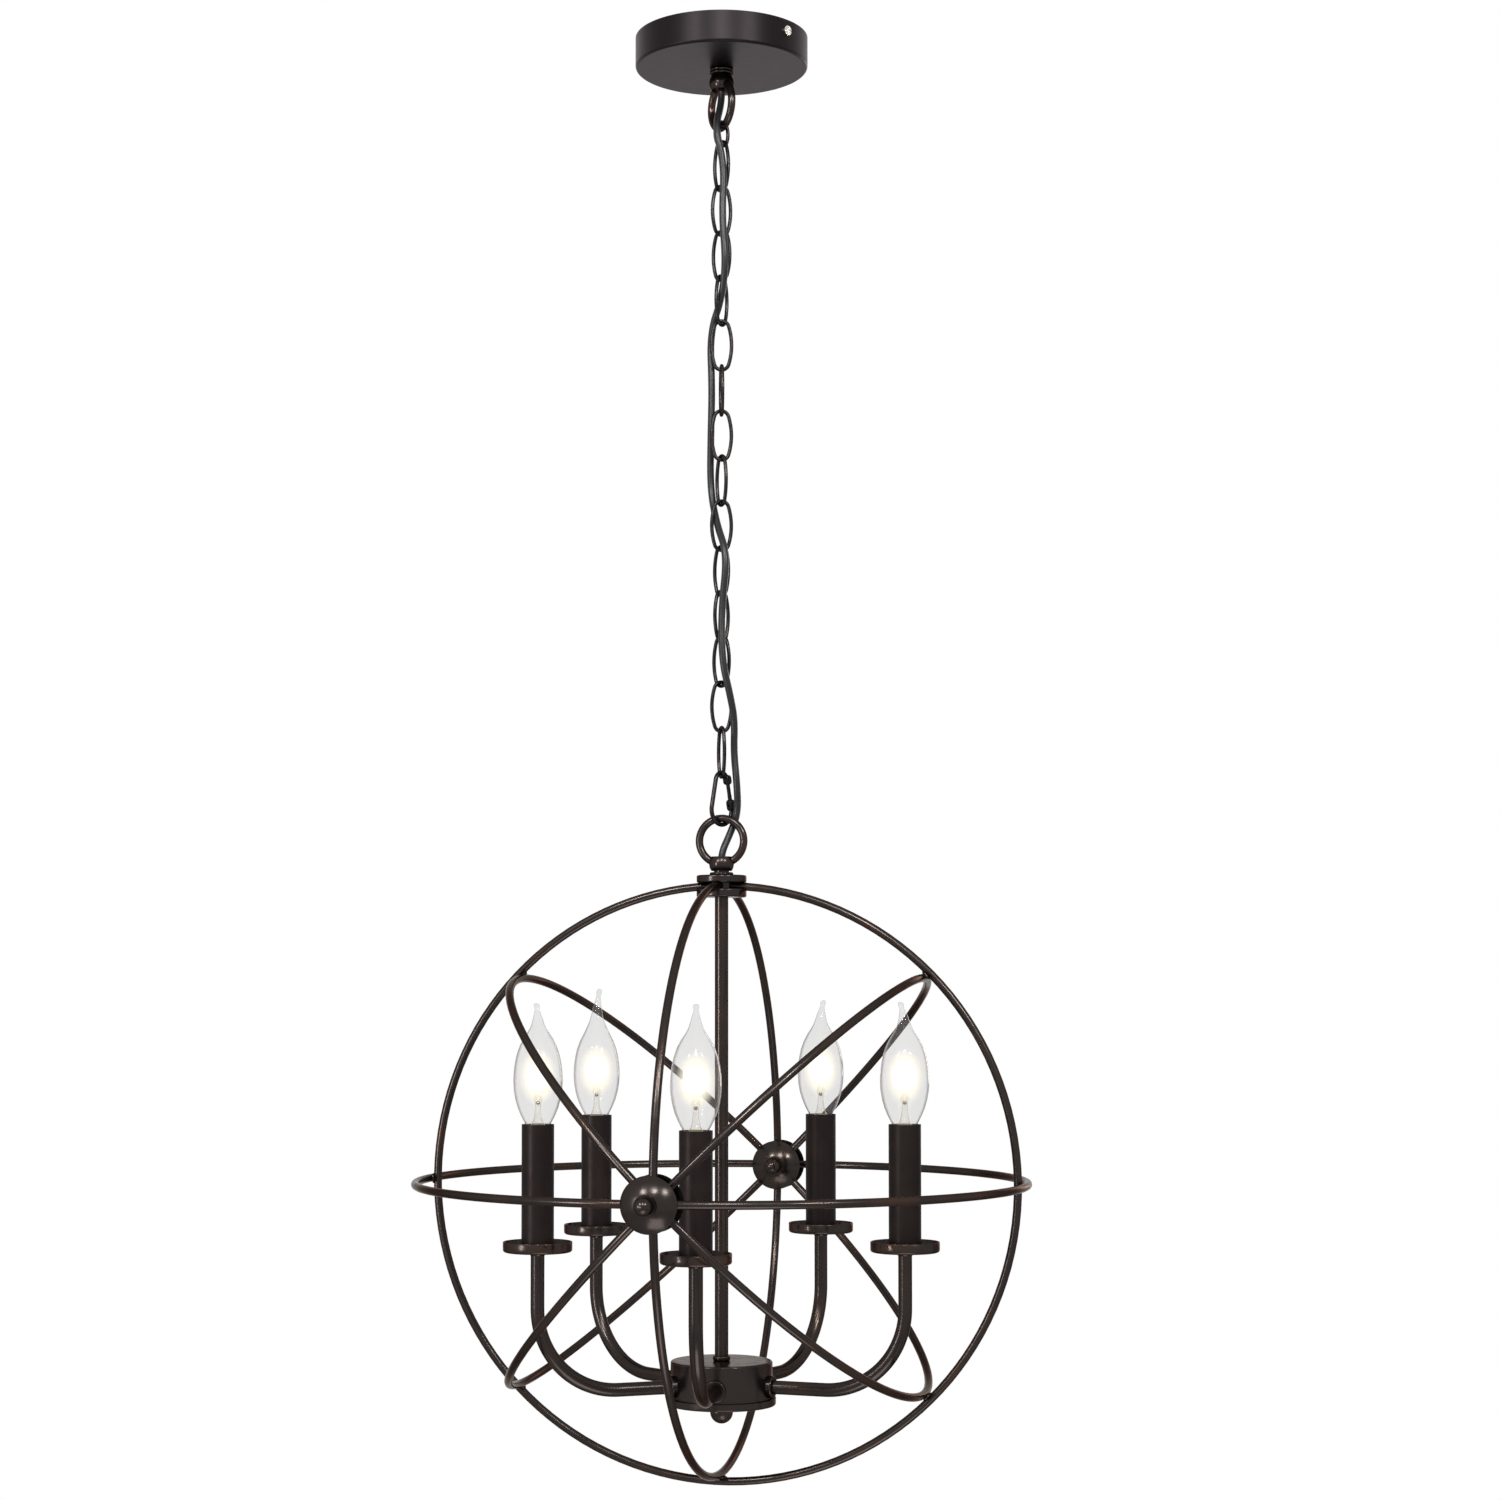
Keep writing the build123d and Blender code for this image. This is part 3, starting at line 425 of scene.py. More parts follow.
@dataclass(frozen=True)
class WarmHalo:
    """The haze of light round a lit filament: it tints what is behind it and fades at its edge."""

    name: str
    colour: str
    strength: float
    cover: float  # in its middle
    falloff: float  # power by which the cover falls towards its edge

    def build(self) -> bpy.types.Material:
        """Make the material.

        Returns:
            The glowing haze.
        """
        material, tree = new_material(self.name)
        facing = add_node(tree, "ShaderNodeLayerWeight", {"Blend": 0.5})
        towards = add_node(
            tree, "ShaderNodeMath", {0: 1.0, 1: facing.outputs["Facing"]}, operation="SUBTRACT"
        )
        fade = add_node(
            tree, "ShaderNodeMath", {0: towards.outputs[0], 1: self.falloff}, operation="POWER"
        )
        cover = add_node(
            tree, "ShaderNodeMath", {0: fade.outputs[0], 1: self.cover}, operation="MULTIPLY"
        )
        shader = add_node(
            tree,
            "ShaderNodeBsdfPrincipled",
            {
                "Base Color": linear("#000000"),
                "Roughness": 1.0,
                "Specular IOR Level": 0.0,
                "Emission Color": linear(self.colour),
                "Emission Strength": self.strength,
                "Alpha": cover.outputs[0],
            },
        )
        finish_material(tree, shader.outputs[0])
        return material


@dataclass(frozen=True)
class HotTungsten:
    """Drawn tungsten wire, coiled and glowing white hot, a little cooler in places."""

    name: str
    colour: str
    strength: float
    cooler: float = 0.7  # share of the strength where it is coolest
    spot_mm: float = 2.0

    def build(self) -> bpy.types.Material:
        """Make the material.

        Returns:
            The glowing wire.
        """
        material, tree = new_material(self.name)
        heat = add_node(
            tree,
            "ShaderNodeMapRange",
            {
                "Value": noise(tree, self.spot_mm, 1.0),
                "From Min": 0.2,
                "From Max": 0.8,
                "To Min": self.cooler * self.strength,
                "To Max": self.strength,
            },
        )
        shader = add_node(
            tree, "ShaderNodeEmission", {"Color": linear(self.colour), "Strength": heat.outputs[0]}
        )
        finish_material(tree, shader.outputs[0])
        return material


# Oil-rubbed bronze paint: brown-black, redder where it is rubbed, with crisp lines of light.
BRONZE = SatinPaint(
    "oil_rubbed_bronze_paint", "#322d2b", "#40322b", 0.90, 0.22, 0.30, "#aaa19b"
)
# The canopy's pressed steel has the same paint, sprayed thicker: even, with a broad soft gloss.
CANOPY_PAINT = SatinPaint(
    "even_canopy_paint",
    "#1c191a",
    "#1f1b1b",
    0.90,
    0.40,
    0.20,
    "#f4eef0",
    peel_depth_mm=0.003,
    gloss_spread=0.01,
)
# The sleeves' coat is matt, with a wide dull sheen down each side.
SLEEVE_PAINT = SatinPaint(
    "matt_bronze_sleeve_paint", "#231e1d", "#2b2320", 0.6, 0.38, 0.15, "#7d746f", patch_mm=30.0
)
# Chain, hook and connector: near-black enamel on bent wire, cooler and blacker than the bronze.
CHAIN_PAINT = SatinPaint(
    "black_chain_enamel", "#242222", "#2b2624", 0.8, 0.25, 0.30, "#98928e", patch_mm=18.0
)
# Zinc plate: light grey, dull and cloudy.
ZINC = PlatedMetal("zinc_plated_steel", "#8d9093", "#a4a8ac", 0.38)
# Nickel plate: bright and warm.
NICKEL = PlatedMetal("bright_nickel_plate", "#c9c4bc", "#e2ded8", 0.16)
# Dyed brass: the green that marks the screw for the earth wire.
GREEN_BRASS = PlatedMetal("green_dyed_brass", "#3f6b3c", "#55824f", 0.34)
# Thin nickelled brass of the bulbs' screw shells: pale, with the brass showing through.
BASE_BRASS = PlatedMetal("nickelled_brass_shell", "#b9a77c", "#cdbf98", 0.28)
# Extruded PVC jacket of the cable: dark grey with a soft shine.
JACKET = MouldedPlastic("extruded_cable_jacket", "#151516", "#1b1b1c", 0.32, 0.9, 0.26)
# Moulded phenolic resin of the lamp sockets: matt black.
PHENOLIC = MouldedPlastic("phenolic_socket_resin", "#1b1a19", "#24221f", 0.55, 0.4, 0.35)
# The crack of a butt seam under its paint: a dark matt line, as no light gets in.
SEAM_BLACK = MouldedPlastic("butt_seam_shadow", "#0c0b0b", "#141212", 0.7, 0.5, 0.2)
# Blown envelope: clear, with a soft grey outline.
ENVELOPE_GLASS = BlownGlass("blown_bulb_glass")
# Pressed glass mount: thicker than the envelope; its warm edge colour is painted light from the
# filament above it.
MOUNT_GLASS = BlownGlass(
    "pressed_mount_glass", "#b3a67c", 0.12, 0.70, 0.5, ripple_mm=1.6, ripple_depth_mm=0.25
)
# Bead of glass fused over the wires: dark against the filament, with a sharp shine.
BEAD_GLASS = MouldedPlastic("fused_bead_glass", "#3b372f", "#57503f", 0.12, 0.8)
# The wide warm haze, and the small white flare that hides the filament's middle.
HALO = WarmHalo("warm_filament_halo", "#fff7e2", 1.4, 0.90, 4.2)
FLARE = WarmHalo("filament_flare", "#fffefa", 2.4, 1.0, 1.8)
FILAMENT = HotTungsten("glowing_tungsten", "#fff2d2", 14.0)


class Slot(Enum):
    """Material slots of the record."""

    BRONZE = "bronze"
    SLEEVE = "bronze_sleeve"
    CHAIN = "dark_chain"
    ZINC = "zinc_steel"
    NICKEL = "nickel"
    BRASS = "brass_screw"
    CABLE = "cable_jacket"
    SOCKET = "socket_black"
    GLASS = "bulb_glass"


SLOT_FINISHES = {
    Slot.BRONZE: BRONZE,
    Slot.SLEEVE: SLEEVE_PAINT,
    Slot.CHAIN: CHAIN_PAINT,
    Slot.ZINC: ZINC,
    Slot.NICKEL: NICKEL,
    Slot.BRASS: GREEN_BRASS,
    Slot.CABLE: JACKET,
    Slot.SOCKET: PHENOLIC,
    Slot.GLASS: ENVELOPE_GLASS,
}
# The canopy's coat is the even one, and the clamp's core is painted like the discs round it.
NODE_FINISHES = {"canopy": CANOPY_PAINT, "clamp_core": BRONZE}


@dataclass
class PaintShop:
    """Builds each finish once and puts finishes on pieces."""

    built: dict[str, bpy.types.Material] = field(default_factory=dict)

    def material(self, finish: Finish) -> bpy.types.Material:
        """The finish's material, built on first use.

        Args:
            finish: One of the finishes above.

        Returns:
            The material.
        """
        if finish.name not in self.built:
            self.built[finish.name] = finish.build()
        return self.built[finish.name]

    def dress_frame(self, frame: dict[str, Any]) -> None:
        """Give every CAD node the finish of its slot.
        """
        for part in frame["record"]["subparts"]:
            piece = frame["nodes"][part["node"]]
            slot_finish = SLOT_FINISHES[Slot(part["material_slot"])]
            material = self.material(NODE_FINISHES.get(part["node"], slot_finish))
            if not piece.material_slots:
                piece.data.materials.append(material)
            for place in piece.material_slots:
                place.material = material
        log.info("dressed %d nodes of the frame", len(frame["nodes"]))


# ---------------------------------------------------------------- meshes
def add_piece(
    mesh: bpy.types.Mesh, name: str, material: bpy.types.Material
) -> bpy.types.Object:
    """Link a finished mesh as a piece with a finish and a slot.

    Args:
        mesh: Mesh with its place in its vertices.
        name: Name of the piece.
        material: Its finish.

    Returns:
        The new object.
    """
    mesh.name = name
    mesh.materials.clear()
    mesh.materials.append(material)
    piece = bpy.data.objects.new(name, mesh)
    bpy.context.scene.collection.objects.link(piece)
    return piece


def mesh_from(
    shape: bmesh.types.BMesh, name: str, smooth_angle: float = 40.0
) -> bpy.types.Mesh:
    """Turn a bmesh into a smooth mesh with crisp edges and outward faces.

    Args:
        shape: The finished bmesh, which is freed.
        name: Name of the mesh.
        smooth_angle: Edges sharper than this many degrees stay crisp.

    Returns:
        The mesh.
    """
    bmesh.ops.remove_doubles(shape, verts=shape.verts, dist=WELD_WITHIN)
    bmesh.ops.recalc_face_normals(shape, faces=shape.faces)
    for face in shape.faces:
        face.smooth = True
    for edge in shape.edges:
        edge.smooth = not edge.is_manifold or edge.calc_face_angle() < math.radians(smooth_angle)
    mesh = bpy.data.meshes.new(name)
    shape.to_mesh(mesh)
    shape.free()
    return mesh


def spun(profile: Points, centre: Vector, steps: int) -> bmesh.types.BMesh:
    """Spin a profile of radii and heights round a vertical axis.

    Args:
        profile: Radius and height of each point in millimetres, above the centre.
        centre: Foot of the axis in metres.
        steps: Faces round the axis.

    Returns:
        The spun shape.
    """
    shape = bmesh.new()
    points = [shape.verts.new((radius * MM, 0.0, height * MM)) for radius, height in profile]
    edges = [shape.edges.new(pair) for pair in zip(points, points[1:])]
    bmesh.ops.spin(
        shape,
        geom=points + edges,
        cent=(0.0, 0.0, 0.0),
        axis=(0.0, 0.0, 1.0),
        angle=math.tau,
        steps=steps,
        use_merge=True,
    )
    bmesh.ops.translate(shape, verts=shape.verts, vec=centre)
    return shape


def tube_mesh(
    points: list[Vector], radius: float, name: str, sides: int = 2, smooth: int = 6
) -> bpy.types.Mesh:
    """A round tube along a smooth NURBS line.

    Args:
        points: Control points in metres.
        radius: Radius of the tube in metres.
        name: Name of the mesh.
        sides: Bevel resolution of the tube's section.
        smooth: Steps of the line between two points.

    Returns:
        The tube, closed at both ends.
    """
    line = bpy.data.curves.new(name, "CURVE")
    line.dimensions = "3D"
    spline = line.splines.new("NURBS")
    spline.points.add(len(points) - 1)
    for control, point in zip(spline.points, points):
        control.co = (*point, 1.0)
    spline.order_u = 3
    spline.use_endpoint_u = True
    spline.resolution_u = smooth
    line.bevel_depth = radius
    line.bevel_resolution = sides
    line.use_fill_caps = True
    holder = bpy.data.objects.new(name, line)
    bpy.context.scene.collection.objects.link(holder)
    graph = bpy.context.evaluated_depsgraph_get()
    mesh = bpy.data.meshes.new_from_object(holder.evaluated_get(graph))
    bpy.data.objects.remove(holder)
    bpy.data.curves.remove(line)
    return mesh


# ---------------------------------------------------------------- power cable
@dataclass
class PowerCable:
    """The cable from canopy to hub, woven through the chain, in lengths that meet in mid-link."""

    radius: float = 2.65 * MM
    # From the canopy's pipe through the links as in the photograph, and down the stem.
    route_mm: tuple[tuple[float, float, float], ...] = (
        (0.0, 0.0, -0.5),
        (0.0, 0.0, -34.0),
        (0.0, 0.0, -48.5),
        (-2.6, -10.6, -70.6),
        (3.8, -7.4, -98.0),
        (1.8, -7.0, -135.0),
        (5.3, -9.7, -169.5),
        (0.9, -1.8, -195.5),
        (-9.9, 4.5, -220.7),
        (-7.9, 3.1, -262.0),
        (-8.7, 2.4, -300.0),
        (-10.4, 8.1, -337.1),
        (-3.8, 0.3, -365.5),
        (6.5, -10.0, -389.7),
        (1.4, -6.9, -430.0),
        (2.4, -9.8, -468.6),
        (7.3, -5.4, -492.1),
        (9.9, 0.7, -512.0),
        (8.4, 3.9, -535.0),
        (11.4, 1.5, -559.9),
        (11.0, 7.0, -580.7),
        (5.2, 4.8, -596.7),
        (0.0, 0.0, -610.2),
        (0.0, 0.0, -622.0),
        (0.0, 0.0, -1001.43),
    )
    flex: float = 0.7  # share of the way to the next cut
    above: float = 1.0  # heights past both ends, where nothing is cut
    below: float = -2.0

    def length(self, whole: bpy.types.Mesh, high: float, low: float, name: str) -> bpy.types.Mesh:
        """Cut one length out of the whole cable.

        Args:
            whole: Mesh of the whole cable.
            high: Height of the upper cut in metres.
            low: Height of the lower cut in metres.
            name: Name of the length.

        Returns:
            The length, closed at its cuts.
        """
        shape = bmesh.new()
        shape.from_mesh(whole)
        for height, side in ((high, 1.0), (low, -1.0)):
            cut = bmesh.ops.bisect_plane(
                shape,
                geom=shape.verts[:] + shape.edges[:] + shape.faces[:],
                plane_co=(0.0, 0.0, height),
                plane_no=(0.0, 0.0, side),
                clear_outer=True,
            )
            rim = [part for part in cut["geom_cut"] if isinstance(part, bmesh.types.BMEdge)]
            if rim:  # there is none at the cable's own ends, which are closed already
                bmesh.ops.edgeloop_fill(shape, edges=rim)
        return mesh_from(shape, name)

    def build(self, frame: dict[str, Any], shop: PaintShop) -> None:
        """Make the lengths, cut half way between the pivots of the chain's swings.

        Args:
            shop: Where the finish comes from.
        """
        route = [Vector(point) * MM for point in self.route_mm]
        whole = tube_mesh(route, self.radius, "cable_whole", sides=6, smooth=12)
        swings = [joint for joint in frame["joints"] if joint["name"].endswith("_swing")]
        pivots = [joint["pos_m"][2] for joint in swings]
        between = [(upper + lower) / 2 for upper, lower in zip(pivots, pivots[1:])]
        cuts = [self.above, *between, self.below]
        for number, (joint, pivot) in enumerate(zip(swings, pivots)):
            high, low = cuts[number], cuts[number + 1]
            name = f"power_cable_{number + 1:02d}"
            mesh = self.length(whole, high, low, name)
            piece = add_piece(mesh, name, shop.material(JACKET))
            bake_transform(piece)
            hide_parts("power_cable")
        bpy.data.meshes.remove(whole)
        log.info("cable: %d lengths", len(swings))


# ---------------------------------------------------------------- chain
@dataclass
class ChainSeams:
    """The dark butt seam half way down one leg of each link."""

    leg_at: float = 7.45 * MM  # from the link's middle to the leg's axis
    wire: float = 2.8 * MM
    proud: float = 0.04 * MM
    gap: float = 0.7 * MM
    edge: float = 0.12 * MM
    segments: int = 24  # faces round the wire
    # Turn of each link's plane about the vertical, in degrees from +X, as in the solids.
    turns: tuple[float, ...] = (-35, 38, -23, 70, 12, -72, 23, -51, 26, -35, 61, -29, 28, -61)
    sides: tuple[int, ...] = (1, -1, 1, -1, -1, 1, 1, 1, -1, -1, 1, -1, -1, 1)  # leg with the seam

    def build(self, shop: PaintShop) -> None:
        """Make one seam for each link.

        Args:
            shop: Where the finish comes from.
        """
        for number, (turn, side) in enumerate(zip(self.turns, self.sides)):
            link = f"link_{number + 1:02d}"
            low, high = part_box(link)
            angle = math.radians(turn)
            middle = Vector((math.cos(angle), math.sin(angle), 0.0)) * (side * self.leg_at)
            middle.z = (low.z + high.z) / 2
            radius = self.wire / 2 + self.proud
            shape = bmesh.new()
            bmesh.ops.create_cone(
                shape,
                cap_ends=True,
                segments=self.segments,
                radius1=radius,
                radius2=radius,
                depth=self.gap,
                matrix=Matrix.Translation(middle),
            )
            bmesh.ops.bevel(
                shape,
                geom=[edge for edge in shape.edges if edge.calc_face_angle() > 1.0],
                offset=self.edge,
                segments=2,
                profile=0.5,
                affect="EDGES",
                material=-1,
            )
            name = f"{link}_seam"
            piece = add_piece(mesh_from(shape, name), name, shop.material(SEAM_BLACK))
            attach(piece, link)
        log.info("chain: %d butt seams", len(self.turns))


# ---------------------------------------------------------------- rings
@dataclass
class RingWelds:
    """Small brazed beads where the rings cross and touch."""

    ring_radius: float = 218.5 * MM
    rod: float = 6.0 * MM
    long: float = 3.9 * MM  # half sizes of a bead
    thick: float = 1.5 * MM
    lumps: float = 0.07  # share by which a bead's surface rises and falls
    lump_turns: tuple[float, float] = (2600.0, 2300.0)  # radians per metre along Y and Z
    lump_shift: float = 9.0  # makes each bead's lumps differ
    outside_at: tuple[int, ...] = (0, 180)  # degrees above +X, where the equator ring touches
    inside_at: tuple[int, ...] = (270, 45, 135, 225, 315)  # where the other rings touch
    subdivisions: int = 4

    def bead(self, shape: bmesh.types.BMesh, centre: Vector, turn: float) -> None:
        """Add one bead in the crook between two crossing rods.

        Args:
            shape: The bmesh that gets it.
            centre: Point where the rods touch.
            turn: Direction of the ring's radius there, in radians above +X.
        """
        size = Matrix.Diagonal((self.thick, self.long, self.long, 1.0))
        place = Matrix.Translation(centre) @ Matrix.Rotation(-turn, 4, "Y") @ size
        made = bmesh.ops.create_icosphere(
            shape, subdivisions=self.subdivisions, radius=1.0, matrix=place
        )
        along, up = self.lump_turns
        for vert in made["verts"]:
            offset = vert.co - centre
            swell = math.sin(offset.y * along + self.lump_shift * turn) * math.cos(offset.z * up)
            vert.co = centre + offset * (1.0 + self.lumps * swell)

    def build(self, shop: PaintShop) -> None:
        """Make the beads as one piece of the orb.

        Args:
            shop: Where the finish comes from.
        """
        low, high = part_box("ring_front")
        middle = (low.z + high.z) / 2
        spots = [(degrees, self.ring_radius + self.rod / 2) for degrees in self.outside_at]
        spots += [(degrees, self.ring_radius - self.rod / 2) for degrees in self.inside_at]
        shape = bmesh.new()
        for degrees, radius in spots:
            turn = math.radians(degrees)
            centre = Vector((radius * math.cos(turn), 0.0, middle + radius * math.sin(turn)))
            self.bead(shape, centre, turn)
        mesh = mesh_from(shape, "ring_welds")
        piece = add_piece(mesh, "ring_welds", shop.material(BRONZE))
        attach(piece, "orb")
        log.info("rings: %d brazed beads", len(spots))


# ---------------------------------------------------------------- bulbs
@dataclass(frozen=True)
class Egg:
    """Measures of an egg-shaped piece on the bulb's axis, in millimetres."""

    radius: float  # half its width
    rise: float  # its middle above the sleeve
    tall: float  # its height over its width


@dataclass
class FlameBulb:
    """A lit candelabra bulb with a bent flame tip. Its sizes are millimetres above the sleeve."""

    number: int
    foot: Vector  # on the candle's axis, at the sleeve's top, in metres
    lean: float  # direction of the bent tip, in degrees from +X
    height: float  # of the drawn-out tip, a little different on each blown bulb
    drawn_from: float = 62.0
    tip_lean: float = 3.2
    bend_from: float = 56.0
    hook: float = 0.55  # how far the tip leans back before it leans over
    outline: Points = (
        (0.0, -2.6),
        (5.2, -2.6),
        (7.0, -2.2),
        (8.2, -1.2),
        (9.2, 0.4),
        (10.6, 2.8),
        (12.6, 6.8),
        (14.7, 12.0),
        (16.4, 18.0),
        (17.5, 24.5),
        (17.85, 31.0),
        (17.6, 37.5),
        (16.8, 44.0),
        (15.4, 50.5),
        (13.3, 56.5),
        (10.6, 61.8),
        (8.0, 65.8),
        (6.1, 68.9),
        (4.9, 71.8),
        (3.9, 75.2),
        (3.0, 78.6),
        (2.2, 81.6),
        (1.7, 83.4),
        (1.9, 84.8),
        (2.2, 86.0),
        (1.8, 87.2),
        (0.9, 87.8),
        (0.0, 88.0),
    )
    mount: Points = (
        (0.0, -2.0),
        (6.0, -2.0),
        (5.2, -0.4),
        (3.9, 1.6),
        (2.9, 4.6),
        (2.3, 8.4),
        (2.0, 12.6),
        (2.1, 15.4),
        (2.9, 17.2),
        (3.1, 18.8),
        (2.4, 20.4),
        (1.2, 21.3),
        (0.0, 21.5),
    )
    base_foot: Points = (
        (0.0, -25.6),
        (1.5, -25.5),
        (2.1, -24.9),
        (2.2, -24.2),
        (4.1, -23.2),
        (5.0, -22.2),
    )
    base_skirt: Points = ((5.8, -3.6), (7.2, -3.2), (7.35, -1.6), (7.0, -0.6), (0.0, -0.6))
    thread: Points = ((5.85, -21.4), (5.3, -20.4))  # crest and root of the lowest turn
    thread_pitch: float = 2.0
    thread_turns: int = 9
    lead: Points = ((0.9, 16.0), (1.6, 21.0), (3.4, 25.5), (4.6, 30.5), (4.9, 33.2))
    support: tuple[float, ...] = (19.5, 24.0, 30.0, 37.4)
    wire_radius: float = 0.3
    coil_half: float = 4.9  # half of the filament's span between the leads
    coil_rise: float = 33.2
    coil_peak: float = 4.2  # by which the support lifts the coil's middle
    coil_radius: float = 0.55
    coil_wire_radius: float = 0.22
    coil_turns: int = 26
    coil_steps: int = 4  # points in a turn
    halo: Egg = Egg(15.5, 34.0, 1.35)
    flare: Egg = Egg(9.5, 34.6, 1.15)
    bead: Egg = Egg(1.5, 15.4, 0.9)
    light_rise: float = 34.0
    light_radius: float = 6.0
    light_power: float = 0.10  # watts
    light_colour: str = "#ffcf8c"
    glass_steps: int = 72  # faces round the axis
    shell_steps: int = 48
    mount_steps: int = 32
    egg_subdivisions: int = 4

    def bent(self, point: Vector) -> Vector:
        """Where a point of the straight envelope goes when its tip is bent.

        Args:
            point: Point in metres, from the foot.

        Returns:
            The point on the bent envelope.
        """
        rise = max(0.0, point.z / MM - self.bend_from) / (self.height - self.bend_from)
        way = math.radians(self.lean)
        back = self.hook * math.sin(math.pi * rise) * rise
        lean = self.tip_lean * MM * (rise**1.5 - back)
        return point + Vector((math.cos(way), math.sin(way), 0.0)) * lean

    def envelope(self) -> bpy.types.Mesh:
        """Blow the glass: a spun flame shape whose tip is drawn out and bent.

        Returns:
            The envelope.
        """
        top = self.outline[-1][1]
        drawn = (self.height - self.drawn_from) / (top - self.drawn_from)
        flame = tuple(
            (out, up if up < self.drawn_from else self.drawn_from + (up - self.drawn_from) * drawn)
            for out, up in self.outline
        )
        shape = spun(flame, Vector(), self.glass_steps)
        for vert in shape.verts:
            vert.co = self.bent(vert.co)
        bmesh.ops.translate(shape, verts=shape.verts, vec=self.foot)
        return mesh_from(shape, "envelope", 80.0)

    def screw_shell(self) -> bpy.types.Mesh:
        """Roll the thread of the screw shell, with its insulator and end contact.

        Returns:
            The base.
        """
        rolled = [
            (out, up + self.thread_pitch * turn)
            for turn in range(self.thread_turns)
            for out, up in self.thread
        ]
        outline = (*self.base_foot, *rolled, *self.base_skirt)
        return mesh_from(spun(outline, self.foot, self.shell_steps), "shell", 50.0)

    def wires(self) -> list[list[Vector]]:
        """Lines of the two lead wires and the support.

        Returns:
            Control points of each wire in metres.
        """
        leads = [
            [self.foot + Vector((side * out, 0.0, up)) * MM for out, up in self.lead]
            for side in (-1.0, 1.0)
        ]
        return [*leads, [self.foot + Vector((0.0, 0.0, up)) * MM for up in self.support]]

    def coil(self) -> list[Vector]:
        """Line of the coiled filament, hung from the support as a tent.

        Returns:
            Control points of the coil in metres.
        """
        points = []
        steps = self.coil_turns * self.coil_steps
        for step in range(steps + 1):
            share = step / steps
            across = self.coil_half * (2.0 * share - 1.0)
            rise = self.coil_rise + self.coil_peak * (1.0 - abs(2.0 * share - 1.0))
            angle = math.tau * step / self.coil_steps
            out, up = self.coil_radius * math.cos(angle), self.coil_radius * math.sin(angle)
            points.append(self.foot + Vector((across, out, rise + up)) * MM)
        return points

    def egg(self, size: Egg) -> bpy.types.Mesh:
        """An egg on the bulb's axis: the haze, the flare or the bead.

        Args:
            size: Its measures.

        Returns:
            The egg.
        """
        shape = bmesh.new()
        wide = size.radius * MM
        stretch = Matrix.Diagonal((wide, wide, wide * size.tall, 1.0))
        place = Matrix.Translation(self.foot + Vector((0.0, 0.0, size.rise * MM))) @ stretch
        bmesh.ops.create_icosphere(
            shape, subdivisions=self.egg_subdivisions, radius=1.0, matrix=place
        )
        return mesh_from(shape, "egg")

    def light(self) -> None:
        """Hang the small lamp that stands for the filament's light."""
        glow = bpy.data.lights.new(f"bulb_{self.number}_light", "POINT")
        glow.energy = self.light_power
        glow.color = linear(self.light_colour)[:3]
        glow.shadow_soft_size = self.light_radius * MM
        lamp = bpy.data.objects.new(glow.name, glow)
        lamp.location = self.foot + Vector((0.0, 0.0, self.light_rise * MM))
        bpy.context.scene.collection.objects.link(lamp)

    def build(self, shop: PaintShop) -> None:
        """Make the bulb's pieces, which ride on its body and stand for its CAD node.

        Args:
            shop: Where the finishes come from.
        """
        name = f"bulb_{self.number}"
        stem = mesh_from(spun(self.mount, self.foot, self.mount_steps), "mount", 60.0)
        coil = tube_mesh(self.coil(), self.coil_wire_radius * MM, "filament")
        made = [
            (self.envelope(), "glass", ENVELOPE_GLASS),
            (self.screw_shell(), "shell", BASE_BRASS),
            (stem, "mount", MOUNT_GLASS),
            (coil, "filament", FILAMENT),
            (self.egg(self.halo), "halo", HALO),
            (self.egg(self.flare), "flare", FLARE),
            (self.egg(self.bead), "bead", BEAD_GLASS),
        ]
        for index, line in enumerate(self.wires()):
            wire = tube_mesh(line, self.wire_radius * MM, "wire")
            made.append((wire, f"wire_{index + 1}", NICKEL))
        for mesh, part, finish in made:
            piece = add_piece(mesh, f"{name}_{part}", shop.material(finish))
            for face in piece.data.polygons:
                face.use_smooth = True
            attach(piece, name)
            if part == "glass":
                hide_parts(name)
        self.light()
        log.info("%s: %d pieces", name, len(made))


